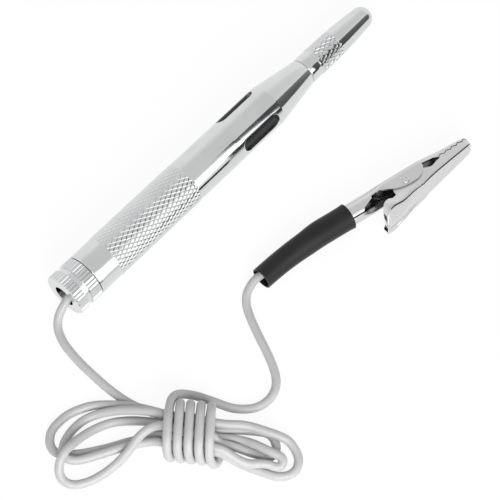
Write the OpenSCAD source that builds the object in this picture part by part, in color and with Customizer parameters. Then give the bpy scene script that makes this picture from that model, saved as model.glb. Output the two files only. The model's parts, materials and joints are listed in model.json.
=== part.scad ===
// Pocket test light, in millimetres.
// The pen lies along X with its nose to +X and rests on Z = 0. The origin is below
// its middle. The lead, its hank and the crocodile clip lie beside it at -Y.

/* [Barrel] */
// Diameter of the plain barrel
body_d = 13; // [12.4:0.1:14]
// Height of the knurled grip above the barrel
knurl_h = 0.1; // [0.05:0.05:0.2]
// Length of the plain stretch behind the grip
rear_plain_l = 7.1; // [5.6:0.1:9]
// Length of the knurled grip
knurl_l = 31.55; // [26:0.05:37]
// Length of the plain stretch in front of the grip, round the lamp
lamp_plain_l = 34.3; // [32:0.1:38]
// Length of the cone
cone_l = 14.8; // [12.6:0.1:18]
// Diameter of the small end of the cone
cone_end_d = 8.4; // [8.2:0.1:9.4]
// Wall of the barrel round the lamp
barrel_wall = 1; // [0.8:0.05:1.2]

/* [Windows] */
// Number of windows round the lamp
window_count = 3; // [2:1:4]
// Width of a window
window_w = 4.3; // [3:0.1:5.4]
// Length of a window, over its round ends
window_l = 14; // [10:0.5:16]
// Distance from the front of a window to the start of the cone
window_setback = 1.9; // [1:0.1:4]
// Turn of the first window from straight up
window_turn = 68; // [0:1:119]

/* [End cap] */
// Length of the end cap
end_cap_l = 8.25; // [7.4:0.05:10]
// Number of flutes round the end cap
flute_count = 40; // [28:1:48]
// Depth of a flute
flute_h = 0.25; // [0.15:0.05:0.35]
// Length of the rear fluted ring
rear_ring_l = 3.1; // [2.4:0.1:3.6]
// Width of the groove between the fluted rings
groove_w = 1.55; // [1:0.05:2]
// Depth of that groove
groove_h = 0.5; // [0.3:0.05:0.8]
// Diameter of the hole for the lead
lead_hole_d = 6.4; // [5.8:0.1:7]
// Thickness of the rear wall of the end cap
end_wall = 1.6; // [1.2:0.1:2.4]
// Length of the part that screws into the barrel
end_spigot_l = 5; // [4:0.1:7]
// Wall of the part that screws into the barrel
end_spigot_wall = 0.95; // [0.8:0.05:1.1]

/* [Probe cap] */
// Length of the cap over the needle
probe_cap_l = 28.5; // [27:0.1:34]
// Distance from the rear of the cap to its knurled band
band_setback = 4.75; // [4.3:0.05:6]
// Length of the knurled band
band_l = 8.45; // [6:0.05:10]
// Diameter of the cap behind its knurled band
cap_d = 8.5; // [8.3:0.1:9.2]
// Diameter where the rounded tip begins
cap_tip_d = 6.7; // [6:0.1:7.4]
// Length of the rounded tip
cap_tip_l = 3.3; // [2.6:0.1:4]

/* [Probe needle] */
// Diameter of the needle
needle_d = 2; // [1.6:0.1:2.4]
// Length of the needle's point
point_l = 7; // [5:0.5:10]
// Reach of the needle in front of the barrel
needle_reach = 24.5; // [18:0.5:25]
// Length of needle held in its holder
needle_grip_l = 13; // [9:0.5:14]
// Diameter of the holder's stem
stem_d = 4.9; // [4.5:0.1:5.2]
// Reach of the stem in front of the barrel
stem_reach = 6; // [4:0.5:8]
// Length of the holder's head
holder_head_l = 2; // [1.6:0.1:2.6]
// Diameter of the holder's head
holder_head_d = 7; // [6.4:0.1:8]
// Wall of the insulating tube round the stem
nose_tube_wall = 0.75; // [0.6:0.05:0.85]
// Thickness of the flange on that tube
nose_flange_l = 1.8; // [1.2:0.1:2.4]

/* [Lamp] */
// Length of the festoon lamp over its caps
lamp_l = 27; // [25:0.5:29]
// Diameter of the lamp's glass
glass_d = 8; // [6.6:0.1:8.4]
// Diameter of the lamp's metal caps
lamp_cap_d = 6.6; // [6:0.1:6.6]
// Length of each metal cap, with its cone
lamp_cap_l = 5; // [4:0.1:6]
// Length of the cone on each cap
lamp_cone_l = 1.4; // [1:0.1:1.8]
// Diameter of the blunt end of that cone
lamp_nib_d = 2.6; // [2:0.1:3]
// Wall of the smoked tube round the lamp
liner_wall = 0.8; // [0.6:0.05:1]
// Distance from the seat of the smoked tube to the start of the cone
liner_setback = 0.7; // [0.5:0.1:1.2]
// Width of the shoulder that the smoked tube rests on
liner_seat_w = 0.9; // [0.7:0.05:1]
// Length of the bore that holds the front lamp cap
lamp_nest_l = 7; // [6:0.1:7.4]

/* [Contacts] */
// Depth of the dish that a lamp cap sits in
dish_h = 0.8; // [0.5:0.05:0.9]
// Width of that dish
dish_d = 5.2; // [5:0.1:5.8]
// Length of the contact cup
cup_l = 6.8; // [4:0.1:9]
// Length of the cup's pin inside the spring
cup_pin_l = 3; // [2:0.1:5]
// Outer diameter of the contact spring
spring_d = 7.2; // [6.8:0.1:7.6]
// Wire of the contact spring
spring_wire = 0.7; // [0.5:0.05:0.8]
// Turns of the contact spring
spring_turns = 9; // [7:1:11]
// Diameter of the rear terminal's head
terminal_head_d = 7.5; // [7.3:0.1:8]
// Thickness of that head
terminal_head_l = 1; // [0.8:0.1:1.6]
// Diameter of the rear terminal's stem
terminal_stem_d = 3.3; // [2.9:0.1:3.8]
// Reach of that stem behind its insulator
terminal_tail_l = 1.35; // [1:0.05:2]
// Depth of the hole in that stem
terminal_hole_h = 4; // [3:0.5:6]
// Length of the rear insulator's body
insulator_l = 6.5; // [5:0.1:8]
// Thickness of the rear insulator's flange
insulator_flange_l = 2.15; // [1.5:0.05:3]

/* [Lead] */
// Diameter of the lead
lead_d = 2.4; // [2:0.1:2.5]
// Diameter of the bare copper in the lead
core_d = 1.2; // [0.8:0.1:1.4]
// Length of the stop crimped on the lead
stop_l = 4; // [3:0.1:4.5]
// Height of the loops at the ends of the hank
loops_h = 6; // [4.8:0.1:7.2]
// Height of the turns wound round the hank
winding_h = 12; // [11:0.5:14]
// Width of the turns wound round the hank
winding_w = 17; // [16:0.5:18]
// Length of the turns wound round the hank
winding_l = 14.4; // [12:0.4:16]

/* [Clip] */
// Thickness of the sheet the jaws are folded from
sheet_t = 0.5; // [0.4:0.05:0.6]
// Width over the ears at the rivet
ears_w = 8.9; // [8.5:0.1:9.5]
// Side play between the lower jaw and the ears
jaw_play = 0.1; // [0.1:0.05:0.2]
// Length from the rivet to the tip of the jaws
jaw_l = 23.3; // [22:0.1:26]
// Number of teeth
tooth_count = 5; // [3:1:5]
// Pitch of the teeth
tooth_pitch = 2.15; // [1.8:0.05:2.3]
// Height of a tooth
tooth_h = 0.62; // [0.4:0.02:0.8]
// Gap between the closed jaws
tooth_gap = 0.25; // [0.15:0.05:0.35]
// Diameter of the clip's barrel
clip_barrel_d = 6.3; // [6:0.1:6.6]
// Length from the rivet to the rear end of the clip's barrel
clip_tail_l = 28; // [24:0.5:30]
// Diameter of the rivet
rivet_d = 2; // [1.6:0.1:2.2]
// Diameter of the rivet's heads
rivet_head_d = 2.6; // [2.3:0.1:3]
// Thickness of a rivet head
rivet_head_h = 0.25; // [0.15:0.05:0.35]
// Wire of the clip's spring
clip_wire = 0.7; // [0.5:0.05:0.8]
// Turns of the clip's spring
clip_turns = 3; // [2:1:4]
// Wall of the sleeve over the clip's barrel
sleeve_wall = 0.45; // [0.35:0.05:0.6]

/* [Hidden] */
$fn = 64;

// Clearances: radial between sliding or screwed round faces, of a pressed pin, and
// between flat faces of pieces that turn or slide against each other
fit = 0.05;
press = 0.01;
seam = 0.1;
// Play of the contact cup in the smoked tube, and of its pin in the spring
cup_play = 0.35;
pin_play = 0.2;
// Play of the lead's stop in the end cap, and its distance behind the terminal
stop_play = 0.3;
stop_setback = 0.6;
// Room round the needle, and in front of the stem and the needle, inside the cap
needle_room = 0.8;
stem_room = 0.5;
// Small bevel on turned edges
bevel = 0.2;
// Overlap used where two shapes of one solid join, and overshoot of cutters
weld = 0.1;

// Places along the pen, measured forwards from the rear face of the end cap
barrel_l = rear_plain_l + knurl_l + lamp_plain_l + cone_l;
nose_x = end_cap_l + barrel_l;
pen_l = nose_x + probe_cap_l;
pen_r = body_d / 2 + knurl_h;
cone_x = nose_x - cone_l;
liner_seat_x = cone_x - liner_setback;
flange_seat_x = liner_seat_x + lamp_nest_l;
holder_x = flange_seat_x - nose_flange_l - holder_head_l;
lamp_x = holder_x + dish_h - lamp_l;
cup_x = lamp_x + dish_h - cup_l;
insulator_x = end_cap_l + end_spigot_l + seam;
insulator_body_x = insulator_x + insulator_flange_l;
terminal_head_x = insulator_body_x + insulator_l;
terminal_x = insulator_x - terminal_tail_l;
spring_x = terminal_head_x + terminal_head_l;

// Diameters that follow from the pieces inside each other
barrel_bore_d = body_d - 2 * barrel_wall;
liner_d = barrel_bore_d - 2 * fit;
liner_bore_d = liner_d - 2 * liner_wall;
lamp_nest_d = barrel_bore_d - 2 * liner_seat_w;
nose_bore_d = stem_d + 2 * fit;
nose_tube_d = nose_bore_d + 2 * nose_tube_wall;
nose_hole_d = nose_tube_d + 2 * fit;
end_spigot_d = barrel_bore_d - 2 * fit;
end_cavity_d = end_spigot_d - 2 * end_spigot_wall;
stop_d = end_cavity_d - 2 * stop_play;
cup_d = liner_bore_d - 2 * cup_play;
needle_room_d = needle_d + 2 * needle_room;
needle_hole_l = needle_reach + needle_room;

// Clip: half widths inside one another, and the barrel's radius
ears_r = ears_w / 2;
jaw_r = ears_r - sheet_t - jaw_play;
tip_r = 2.5;
clip_r = clip_barrel_d / 2;
clip_bore_r = clip_r - sheet_t;
// Height of the clip barrel's axis above the rivet, in the clip's own frame
clip_axis_y = 2;
// Height of the upper jaw's back over the rivet
back_y = 3.85;
// Rivet's place and the clip's lie on the table, from the point below the pen's rear face
clip_at = [87.4, -45.6, 4.81];
clip_turn = -13.5;
clip_roll = -7;

// Lead: stretch inside the end cap and down to the table, then along it to the hank,
// from the point below the pen's rear face
rear_route = [
    [terminal_x, 0, pen_r], [7, 0, pen_r], [3.5, -0.4, pen_r - 0.3], [0, -1, pen_r - 0.9],
    [-2.6, -1.3, pen_r - 2.4], [-4.9, -2.1, 2.7], [-6.8, -4, 1.5], [-8.3, -7.4, lead_d / 2],
    [-9.3, -12.3, lead_d / 2], [-9.7, -18.5, lead_d / 2], [-9.8, -25, lead_d / 2],
    [-9.3, -30.5, lead_d / 2], [-8.6, -35, lead_d / 2]];
// Lead: from the top of the winding down to the table and up into the sleeve
front_route = [
    [-1.2, -42.4, 9.2], [0.4, -43, 7.6], [3.7, -45.8, 4.6], [6.1, -49.6, 2.4],
    [7.9, -53, 1.3], [10.7, -56.6, lead_d / 2], [14.9, -58.8, lead_d / 2],
    [20.1, -58, lead_d / 2], [24.2, -53.4, lead_d / 2], [27.7, -45.8, lead_d / 2],
    [31.1, -38.6, lead_d / 2], [34, -34.8, 1.9], [37.4, -33.4, 2.8], [41.5, -33.4, 3.3],
    [46.5, -34.5, 3.5], [52, -35.4, 3.8], [57, -36.3, 4.3]];
// Winding: its middle and the direction of the hank
winding_at = [-5.4, -51.1];
hank_turn = -54;
// Loops: circles whose common outline holds each end of the hank
left_loops = [[-25.2, -28, 6.8], [-30.8, -35.4, 6.6], [-17.6, -40.2, 3.4], [-7.6, -35, 3],
    [-12.6, -46.4, 3], [-5, -41.2, 3]];
right_loops = [[6.3, -73, 6], [6.8, -66, 4.8], [3, -54, 4.4], [-1.6, -69, 3], [-4, -60, 3.2]];
// Sleeve: middle line from its rear end towards the clip's barrel, and radii over the lead
sleeve_route = [[40.6, -34.3, 3.25], [44, -34.5, 3.3], [48, -34.9, 3.5], [52.5, -35.6, 3.9],
    [56.5, -36.4, 4.3]];
sleeve_lead_r = 3.2;

// A point on the clip barrel's axis, u along the clip and y beside its rivet, in the pen's frame
function on_clip(u, y, w) = let(
    c1 = cos(clip_turn), s1 = sin(clip_turn), c2 = cos(clip_roll), s2 = sin(clip_roll),
    y2 = y * c2 - w * s2)
    [clip_at[0] + u * c1 - y2 * s1, clip_at[1] + u * s1 + y2 * c1, clip_at[2] + y * s2 + w * c2];
function unit(v) = v / norm(v);
// Point a share t of the way from b to c, on a smooth curve that also heeds a and d
function between(a, b, c, d, t) =
    0.5 * (2 * b + (c - a) * t + (2 * a - 5 * b + 4 * c - d) * t * t + (3 * b - a - 3 * c + d) * t * t * t);
// Smooth curve through points, with n steps from each to the next
function smooth(p, n) = let(last = len(p) - 1) concat(
    [for (i = [0:last - 1], j = [0:n - 1])
        between(p[max(i - 1, 0)], p[i], p[i + 1], p[min(i + 2, last)], j / n)],
    [p[last]]);
// Circle of n points round the middle m, square to the direction of travel
function ring(m, dir, r, n) = let(a = unit(cross(dir, [0, 0, 1])), b = cross(a, unit(dir)))
    [for (i = [0:n - 1]) m + r * cos(360 * i / n) * a + r * sin(360 * i / n) * b];
// Rings along a route, each square to the line between its neighbours
function rings(route, r, n) = let(last = len(route) - 1)
    [for (i = [0:last]) ring(route[i], route[min(i + 1, last)] - route[max(i - 1, 0)], r, n)];
// Wire wound round Z at radius r: a ring at each stop, which holds the angle, the reach
// on along the tangent and the height
function wire_rings(r, wire_r, stops, sides) = [for (s = stops) let(
    out = [cos(s[0]), sin(s[0]), 0], along = [-sin(s[0]), cos(s[0]), 0])
    [for (k = [0:sides - 1]) let(q = 360 * k / sides)
        out * (r + wire_r * cos(q)) + along * s[1] + [0, 0, s[2] + wire_r * sin(q)]]];
// Stops of a coil from one angle and height to another
function coil_stops(a0, a1, z0, z1, count) =
    [for (i = [0:count]) [a0 + (a1 - a0) * i / count, 0, z0 + (z1 - z0) * i / count]];

// Closed solid through rings of equally many points, flat at both ends
module loft(r) {
    n = len(r[0]);
    m = len(r);
    points = [for (ring_points = r, p = ring_points) p];
    sides = [for (i = [0:m - 2], j = [0:n - 1], k = [0:1]) let(a = i * n + j, b = i * n + (j + 1) % n)
        k == 0 ? [a, b, a + n] : [b, b + n, a + n]];
    ends = [[for (j = [n - 1:-1:0]) j], [for (j = [0:n - 1]) (m - 1) * n + j]];
    polyhedron(points, concat(sides, ends), convexity = 6);
}
// Frame of the pen: Z runs forwards along its axis from x behind the given place
module on_axis(x) translate([x - pen_l / 2, 0, pen_r]) rotate([0, 90, 0]) children();
// Frame of what lies beside the pen, below its rear face
module beside() translate([-pen_l / 2, 0, 0]) children();
// Frame of the clip: X from rivet to tip, Y towards its back, Z along the rivet
module in_clip() beside() translate(clip_at) rotate([0, 0, clip_turn]) rotate([clip_roll, 0, 0]) children();
// Solid of revolution from an outline of [radius, height] points, closed along its axis
module turned(outline) rotate_extrude()
    polygon(concat([[0, outline[0][1]]], outline, [[0, outline[len(outline) - 1][1]]]));
// Bore from height a to height b
module bore(d, a, b) translate([0, 0, a]) cylinder(d = d, h = b - a);
// Plain tube from height a to height b
module tube(d, hole, a, b) difference() {
    bore(d, a, b);
    bore(hole, a - weld, b + weld);
}

// Slot with round ends that runs forwards from height a, cut outwards through one wall
module window_cut(a, l, w) {
    for (z = [a + w / 2, a + l - w / 2]) translate([0, 0, z]) rotate([0, 90, 0])
        cylinder(d = w, h = body_d);
    translate([0, -w / 2, a + w / 2]) cube([body_d, w, l - w]);
}
module barrel() color("silver") on_axis(end_cap_l) difference() {
    union() {
        turned([[body_d / 2 - bevel, 0], [body_d / 2, bevel], [body_d / 2, barrel_l - cone_l],
            [cone_end_d / 2 + bevel / 2, barrel_l - bevel / 2], [cone_end_d / 2, barrel_l]]);
        translate([0, 0, rear_plain_l]) turned([[body_d / 2, 0], [pen_r, bevel],
            [pen_r, knurl_l - bevel], [body_d / 2, knurl_l]]);
    }
    bore(barrel_bore_d, -weld, liner_seat_x - end_cap_l);
    bore(lamp_nest_d, 0, flange_seat_x - end_cap_l);
    bore(nose_hole_d, 0, barrel_l + weld);
    for (i = [0:window_count - 1]) rotate([0, 0, 180 + window_turn + 360 * i / window_count])
        window_cut(cone_x - window_setback - window_l - end_cap_l, window_l, window_w);
}

// Outline of a fluted ring: each crest is flat and each root is a V
function on_circle(r, a) = [r * cos(a), r * sin(a)];
function fluted(r, h, n) = [for (i = [0:n - 1]) each [on_circle(r, 360 * (i - 0.27) / n),
    on_circle(r, 360 * i / n), on_circle(r, 360 * (i + 0.27) / n), on_circle(r - h, 360 * (i + 0.5) / n)]];
module fluted_ring(a, b) translate([0, 0, a]) linear_extrude(b - a)
    polygon(fluted(body_d / 2, flute_h, flute_count));
module end_cap() color("gainsboro") on_axis(0) difference() {
    union() {
        intersection() {
            union() {
                fluted_ring(0, rear_ring_l);
                bore(body_d - 2 * groove_h, 0, end_cap_l - seam);
                fluted_ring(rear_ring_l + groove_w, end_cap_l - seam);
            }
            turned([[body_d / 2 - 2 * bevel, 0], [body_d / 2, 2 * bevel],
                [body_d / 2, rear_ring_l - bevel / 2], [body_d / 2 - groove_h, rear_ring_l + groove_h],
                [body_d / 2 - groove_h, rear_ring_l + groove_w - groove_h],
                [body_d / 2, rear_ring_l + groove_w + bevel / 2],
                [body_d / 2, end_cap_l - seam - bevel], [body_d / 2 - bevel, end_cap_l - seam]]);
        }
        bore(end_spigot_d, end_cap_l - seam - weld, end_cap_l + end_spigot_l);
    }
    bore(end_cavity_d, end_wall, end_cap_l + end_spigot_l + weld);
    bore(lead_hole_d, -weld, end_wall + weld);
}

// Radius of the cap in front of its knurled band: a slow taper, then a round tip
front_taper_l = probe_cap_l - band_setback - band_l - cap_tip_l;
function cap_front(t) = cap_d / 2 - 0.1 - (cap_d - 0.2 - cap_tip_d) / 2 * pow(t, 1.6);
module probe_cap() color("gainsboro") on_axis(nose_x) difference() {
    turned(concat(
        [[cap_d / 2 - 0.15, seam], [cap_d / 2 - 0.05, seam + bevel], [cap_d / 2, band_setback - 1.15],
            [cap_d / 2 - 0.2, band_setback - 0.95], [cap_d / 2, band_setback - 0.75],
            [cap_d / 2, band_setback - bevel], [cap_d / 2 + 0.06, band_setback],
            [cap_d / 2 + 0.02, band_setback + band_l - bevel], [cap_d / 2 - 0.1, band_setback + band_l]],
        [for (i = [1:8]) [cap_front(i / 8), band_setback + band_l + front_taper_l * i / 8]],
        [for (a = [12:12:84]) [cap_tip_d / 2 * cos(a), probe_cap_l - cap_tip_l * (1 - sin(a))]],
        [[0.05, probe_cap_l]]));
    bore(nose_bore_d, -weld, stem_reach + stem_room);
    bore(needle_room_d, 0, needle_hole_l);
}

module probe_needle() color("lightgray") on_axis(nose_x) turned([
    [needle_d / 2 - 0.1, stem_reach - needle_grip_l], [needle_d / 2, stem_reach - needle_grip_l + 0.1],
    [needle_d / 2, needle_reach - point_l], [0.12, needle_reach - 0.1], [0.05, needle_reach]]);
module needle_holder() color("goldenrod") on_axis(holder_x) difference() {
    holder_l = nose_x + stem_reach - holder_x;
    turned([[holder_head_d / 2 - bevel, 0], [holder_head_d / 2, bevel], [holder_head_d / 2, holder_head_l],
        [stem_d / 2, holder_head_l], [stem_d / 2, holder_l - bevel], [stem_d / 2 - bevel, holder_l]]);
    bore(dish_d, -weld, dish_h);
    bore(needle_d + 2 * press, holder_l - needle_grip_l, holder_l + weld);
}
module nose_insulator() color("white") on_axis(flange_seat_x - nose_flange_l) difference() {
    turned([[lamp_nest_d / 2 - fit, 0], [lamp_nest_d / 2 - fit, nose_flange_l],
        [nose_tube_d / 2, nose_flange_l], [nose_tube_d / 2, nose_x - flange_seat_x + nose_flange_l]]);
    bore(nose_bore_d, -weld, nose_x - flange_seat_x + nose_flange_l + weld);
}
module window_liner() color([0.12, 0.12, 0.12, 0.6])
    on_axis(0) tube(liner_d, liner_bore_d, insulator_body_x + seam, liner_seat_x);

// Wall of the lamp's glass and caps, and the length over which the glass narrows to a cap
lamp_wall = 0.6;
glass_bend = 1.2;
module bulb_glass() color([0.9, 0.95, 1, 0.4]) on_axis(lamp_x) difference() {
    glass_l = lamp_l - 2 * lamp_cap_l;
    translate([0, 0, lamp_cap_l]) turned([[lamp_cap_d / 2, 0], [glass_d / 2, glass_bend],
        [glass_d / 2, glass_l - glass_bend], [lamp_cap_d / 2, glass_l]]);
    bore(lamp_cap_d - 2 * lamp_wall, lamp_cap_l - weld, lamp_l - lamp_cap_l + weld);
}
// Metal cap of the lamp, its cone at height 0
module lamp_cap() difference() {
    turned([[lamp_nib_d / 2, 0], [lamp_cap_d / 2, lamp_cone_l], [lamp_cap_d / 2, lamp_cap_l]]);
    bore(lamp_cap_d - 2 * lamp_wall, lamp_cone_l + lamp_wall, lamp_cap_l + weld);
}
module bulb_rear_cap() color("silver") on_axis(lamp_x) lamp_cap();
module bulb_front_cap() color("silver") on_axis(lamp_x + lamp_l) mirror([0, 0, 1]) lamp_cap();
// Filament: a fine coil between two straight ends that reach into the caps
filament_d = 0.2;
filament_r = 0.45;
filament_turns = 9;
filament_end = lamp_cone_l + 0.9;
filament_lead_l = lamp_l * 0.24;
module bulb_filament() color("dimgray") on_axis(lamp_x) {
    coil_start = filament_end + filament_lead_l;
    coil_end = lamp_l - coil_start;
    bore(filament_d, filament_end, coil_start);
    bore(filament_d, coil_end, lamp_l - filament_end);
    loft(wire_rings(filament_r, filament_d / 2,
        coil_stops(0, 360 * filament_turns, coil_start, coil_end, 8 * filament_turns), 5));
    for (z = [coil_start, coil_end]) translate([-filament_d / 2, -filament_d / 2, z - filament_d / 2])
        cube([filament_r + filament_d / 2, filament_d, filament_d]);
}

module contact_cup() color("goldenrod") on_axis(cup_x) difference() {
    pin_r = spring_d / 2 - spring_wire - pin_play;
    turned([[pin_r, -cup_pin_l], [pin_r, 0], [cup_d / 2, 0], [cup_d / 2, cup_l - bevel],
        [cup_d / 2 - bevel, cup_l]]);
    bore(dish_d, cup_l - dish_h, cup_l + weld);
}
module contact_spring() color("silver") on_axis(spring_x) loft(wire_rings(
    (spring_d - spring_wire) / 2, spring_wire / 2, coil_stops(0, 360 * spring_turns,
        spring_wire / 2 + fit, cup_x - spring_x - spring_wire / 2 - fit, 14 * spring_turns), 8));
module lead_terminal() color("goldenrod") on_axis(terminal_x) difference() {
    stem_l = terminal_head_x - terminal_x;
    end = stem_l + terminal_head_l;
    turned([[terminal_stem_d / 2, 0], [terminal_stem_d / 2, stem_l], [terminal_head_d / 2, stem_l],
        [terminal_head_d / 2, end - bevel], [terminal_head_d / 2 - bevel, end]]);
    bore(core_d + 2 * fit, -weld, terminal_hole_h);
}
module rear_insulator() color("white") on_axis(insulator_x) difference() {
    end = insulator_flange_l + insulator_l;
    turned([[barrel_bore_d / 2 - fit, 0], [barrel_bore_d / 2 - fit, insulator_flange_l],
        [liner_bore_d / 2 - fit, insulator_flange_l], [liner_bore_d / 2 - fit, end]]);
    bore(terminal_stem_d + 2 * fit, -weld, end + weld);
}
module lead_stop() color("lightgray") on_axis(terminal_x - stop_setback - stop_l)
    tube(stop_d, lead_d + 2 * fit, 0, stop_l);
module lead_core() color("peru") on_axis(terminal_x) bore(core_d, 0, terminal_hole_h - 0.3);
module rear_lead() color("lightgray") beside() loft(rings(rear_route, lead_d / 2, 8));

// Outline that holds all of a list of circles
module round_outline(circles) hull() for (c = circles) translate([c[0], c[1]]) circle(r = c[2], $fn = 32);
module lead_hank() color("lightgray") beside() {
    linear_extrude(loops_h) round_outline(left_loops);
    linear_extrude(loops_h) round_outline(right_loops);
    translate([winding_at[0], winding_at[1], winding_h / 2]) rotate([0, 0, hank_turn]) {
        for (s = [-1, 1]) translate([-winding_l / 2, s * (winding_w - winding_h) / 2, 0])
            rotate([0, 90, 0]) cylinder(d = winding_h, h = winding_l);
        translate([-winding_l / 2, -(winding_w - winding_h) / 2, -winding_h / 2])
            cube([winding_l, winding_w - winding_h, winding_h]);
    }
}
// The lead ends inside the clip's barrel, where its bare core is soldered
lead_end_u = -clip_tail_l + 1.5;
solder_l = 3;
module front_lead() color("lightgray") beside() loft(rings(concat(front_route,
    [on_clip(-clip_tail_l - 1.5, clip_axis_y, 0), on_clip(lead_end_u, clip_axis_y, 0)]), lead_d / 2, 8));
module on_clip_axis(u) in_clip() translate([u, clip_axis_y, 0]) rotate([0, 90, 0]) children();
module clip_core() color("peru") on_clip_axis(lead_end_u) bore(core_d, 0, solder_l + 1);
module clip_solder() color("lightgray") on_clip_axis(lead_end_u + 0.5)
    tube(2 * (clip_bore_r - fit), core_d + 2 * fit, 0, solder_l);

// Sleeve: rings along the lead's end, then along the clip's barrel, with a flared mouth
sleeve_barrel_r = clip_r + fit;
sleeve_mouth_u = -clip_tail_l + 10;
sleeve_line = concat(sleeve_route,
    [for (u = [-clip_tail_l, sleeve_mouth_u - 4, sleeve_mouth_u - 1.2, sleeve_mouth_u])
        on_clip(u, clip_axis_y, 0)]);
sleeve_radii = concat([for (i = [0:len(sleeve_route) - 1])
    sleeve_lead_r + (sleeve_barrel_r + sleeve_wall - sleeve_lead_r) * pow(i / len(sleeve_route), 2)],
    [for (flare = [0, 0, 0.04, 0.14]) sleeve_barrel_r + sleeve_wall + flare]);
function sleeve_rings(inset, over) = let(last = len(sleeve_line) - 1) [for (i = [0:last]) let(
    dir = unit(sleeve_line[min(i + 1, last)] - sleeve_line[max(i - 1, 0)]),
    stretch = i == 0 ? -over : (i == last ? over : 0))
    ring(sleeve_line[i] + stretch * dir, dir, sleeve_radii[i] - inset, 20)];
module clip_sleeve() color([0.15, 0.15, 0.16]) beside() difference() {
    loft(sleeve_rings(0, 0));
    loft(sleeve_rings(sleeve_wall, weld));
}

// Section across a folded jaw at place u: back at height y, walls at plus and minus r,
// bent with a round corner, and open edges at height low. side is 1 for a back at +Y.
function fold(u, r, y, bend, low, side) = let(b = min(bend, r - 0.05), n = 5) side > 0
    ? [for (q = fold_half(r, y, b, low, n)) [u, q[1], q[0]]]
    : [for (q = fold_half(r, y, b, low, n)) [u, -q[1], -q[0]]];
function fold_half(r, y, b, low, n) = concat([[-r, low]],
    [for (i = [0:n]) [-r + b - b * cos(90 * i / n), y - b + b * sin(90 * i / n)]],
    [for (i = [n:-1:0]) [r - b + b * cos(90 * i / n), y - b + b * sin(90 * i / n)]],
    [[r, low]]);
// Stations along the upper jaw: place, half width, height of its back, bend radius.
// Behind the ears the fold closes smoothly to the barrel's round section.
neck_u = -10.5;
function ease(t) = t * t * (3 - 2 * t);
upper_stations = concat(
    [[jaw_l - 0.1, tip_r - 0.9, back_y - 1.3, 0.6], [jaw_l - 0.5, tip_r - 0.3, back_y - 0.8, 0.9],
        [jaw_l - 1.3, tip_r + 0.1, back_y - 0.45, 1.1], [12.4, 3.45, back_y - 0.15, 1.4],
        [6, ears_r, back_y, 1.6]],
    [for (i = [5:-1:0]) let(t = ease(i / 5)) [neck_u + i, clip_r + (ears_r - clip_r) * t,
        clip_axis_y + clip_r + (back_y - clip_axis_y - clip_r) * t, clip_r + (1.6 - clip_r) * t]]);
// Stations along the lower jaw: place, half width, depth of its back, bend radius
lower_stations = [
    [jaw_l, tip_r - 0.5, 0.1, 0.5], [jaw_l - 0.4, tip_r, -0.2, 0.6], [14.3, 3.3, 1.5, 0.6],
    [6.5, jaw_r, 3.1, 0.6], [-1.8, jaw_r, 4.5, 0.6], [-4, jaw_r, 5.05, 0.8], [-6.4, 4.3, 6.2, 1.2],
    [-8.5, 4.7, 7.3, 1.6], [-10.5, 4.6, 8.1, 2], [-11.8, 4.1, 8.5, 2.2], [-12.4, 3.4, 8.65, 2.2]];
// A folded sheet through stations listed from its tip, side 1 for a back at +Y; the
// tip is closed by the sheet, and the other end is open
module folded(stations, low, side) {
    last = len(stations) - 1;
    inner = [for (i = [0:last]) let(s = stations[i]) if (i == 0 || i == last || s[0] < jaw_l - 1)
        [s[0] - (i == 0 ? sheet_t : i == last ? weld : 0), max(s[1] - sheet_t, 0.5), s[2] - sheet_t,
            max(s[3] - sheet_t, 0.15)]];
    difference() {
        loft([for (s = stations) fold(s[0], s[1], s[2], s[3], low, side)]);
        loft([for (s = inner) fold(s[0], s[1], s[2], s[3], low - 1, side)]);
    }
}

// Line where the jaws meet, stepped by the teeth, from the tip to the throat
tooth_u = jaw_l - 1.3;
function tooth_line(u) = 2.8 - 0.093 * (tooth_u - u);
teeth = [for (i = [0:tooth_count - 1], k = [0, 1]) let(u = tooth_u - i * tooth_pitch)
    k == 0 ? [u, tooth_line(u)] : [u - 0.44 * tooth_pitch, tooth_line(u) - tooth_h]];
throat_u = teeth[len(teeth) - 1][0];
throat_y = teeth[len(teeth) - 1][1];
// Edge of the upper jaw from the throat, round the ear and up to the neck
ear_edge = concat([[throat_u, throat_y], [throat_u - 1.5, 1.9]],
    smooth([[6.9, 1.9], [6.4, 0.4], [3.8, -1.4], [-0.6, -1.5], [-4.3, -0.4], [-7.8, 1.8]], 3),
    [[-9, clip_axis_y]]);
tip_edge = [[jaw_l + 1, tooth_line(tooth_u) - 0.9], [jaw_l - 0.3, tooth_line(tooth_u) - 0.7]];
module upper_side() linear_extrude(2 * ears_w, center = true) polygon(concat(tip_edge, teeth, ear_edge,
    [[neck_u - 1, clip_axis_y], [neck_u - 1, 2 * back_y], [jaw_l + 1, 2 * back_y]]));
// Edge of the lower jaw from the throat, round the rivet and down to the lever's lip
pivot_top_r = 2.3;
lip_u = -12.2;
lip_y = -7.4;
lower_edge = concat([[throat_u + 0.3, 0.9]],
    smooth([[throat_u - 1.4, 0.6], [8.9, -0.1], [6.7, 0.6], [4, 1.4]], 2),
    [for (a = [60:15:135]) pivot_top_r * [cos(a), sin(a)]],
    smooth([[-3.4, 0.9], [-4.6, -0.3], [-4.7, -2], [-6.3, -2.7], [-7.5, -2.3], [-8.7, -2.6], [-10.3, -3.9],
        [-11.4, -5.4], [lip_u, lip_y]], 2));
module lower_side() linear_extrude(2 * ears_w, center = true) polygon(concat(
    [for (p = tip_edge) p - [0, tooth_gap]], [for (p = teeth) p - [0, tooth_gap]], lower_edge,
    [[lip_u - 2, lip_y], [lip_u - 2, lip_y - 3], [jaw_l + 1, lip_y - 3]]));

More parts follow.
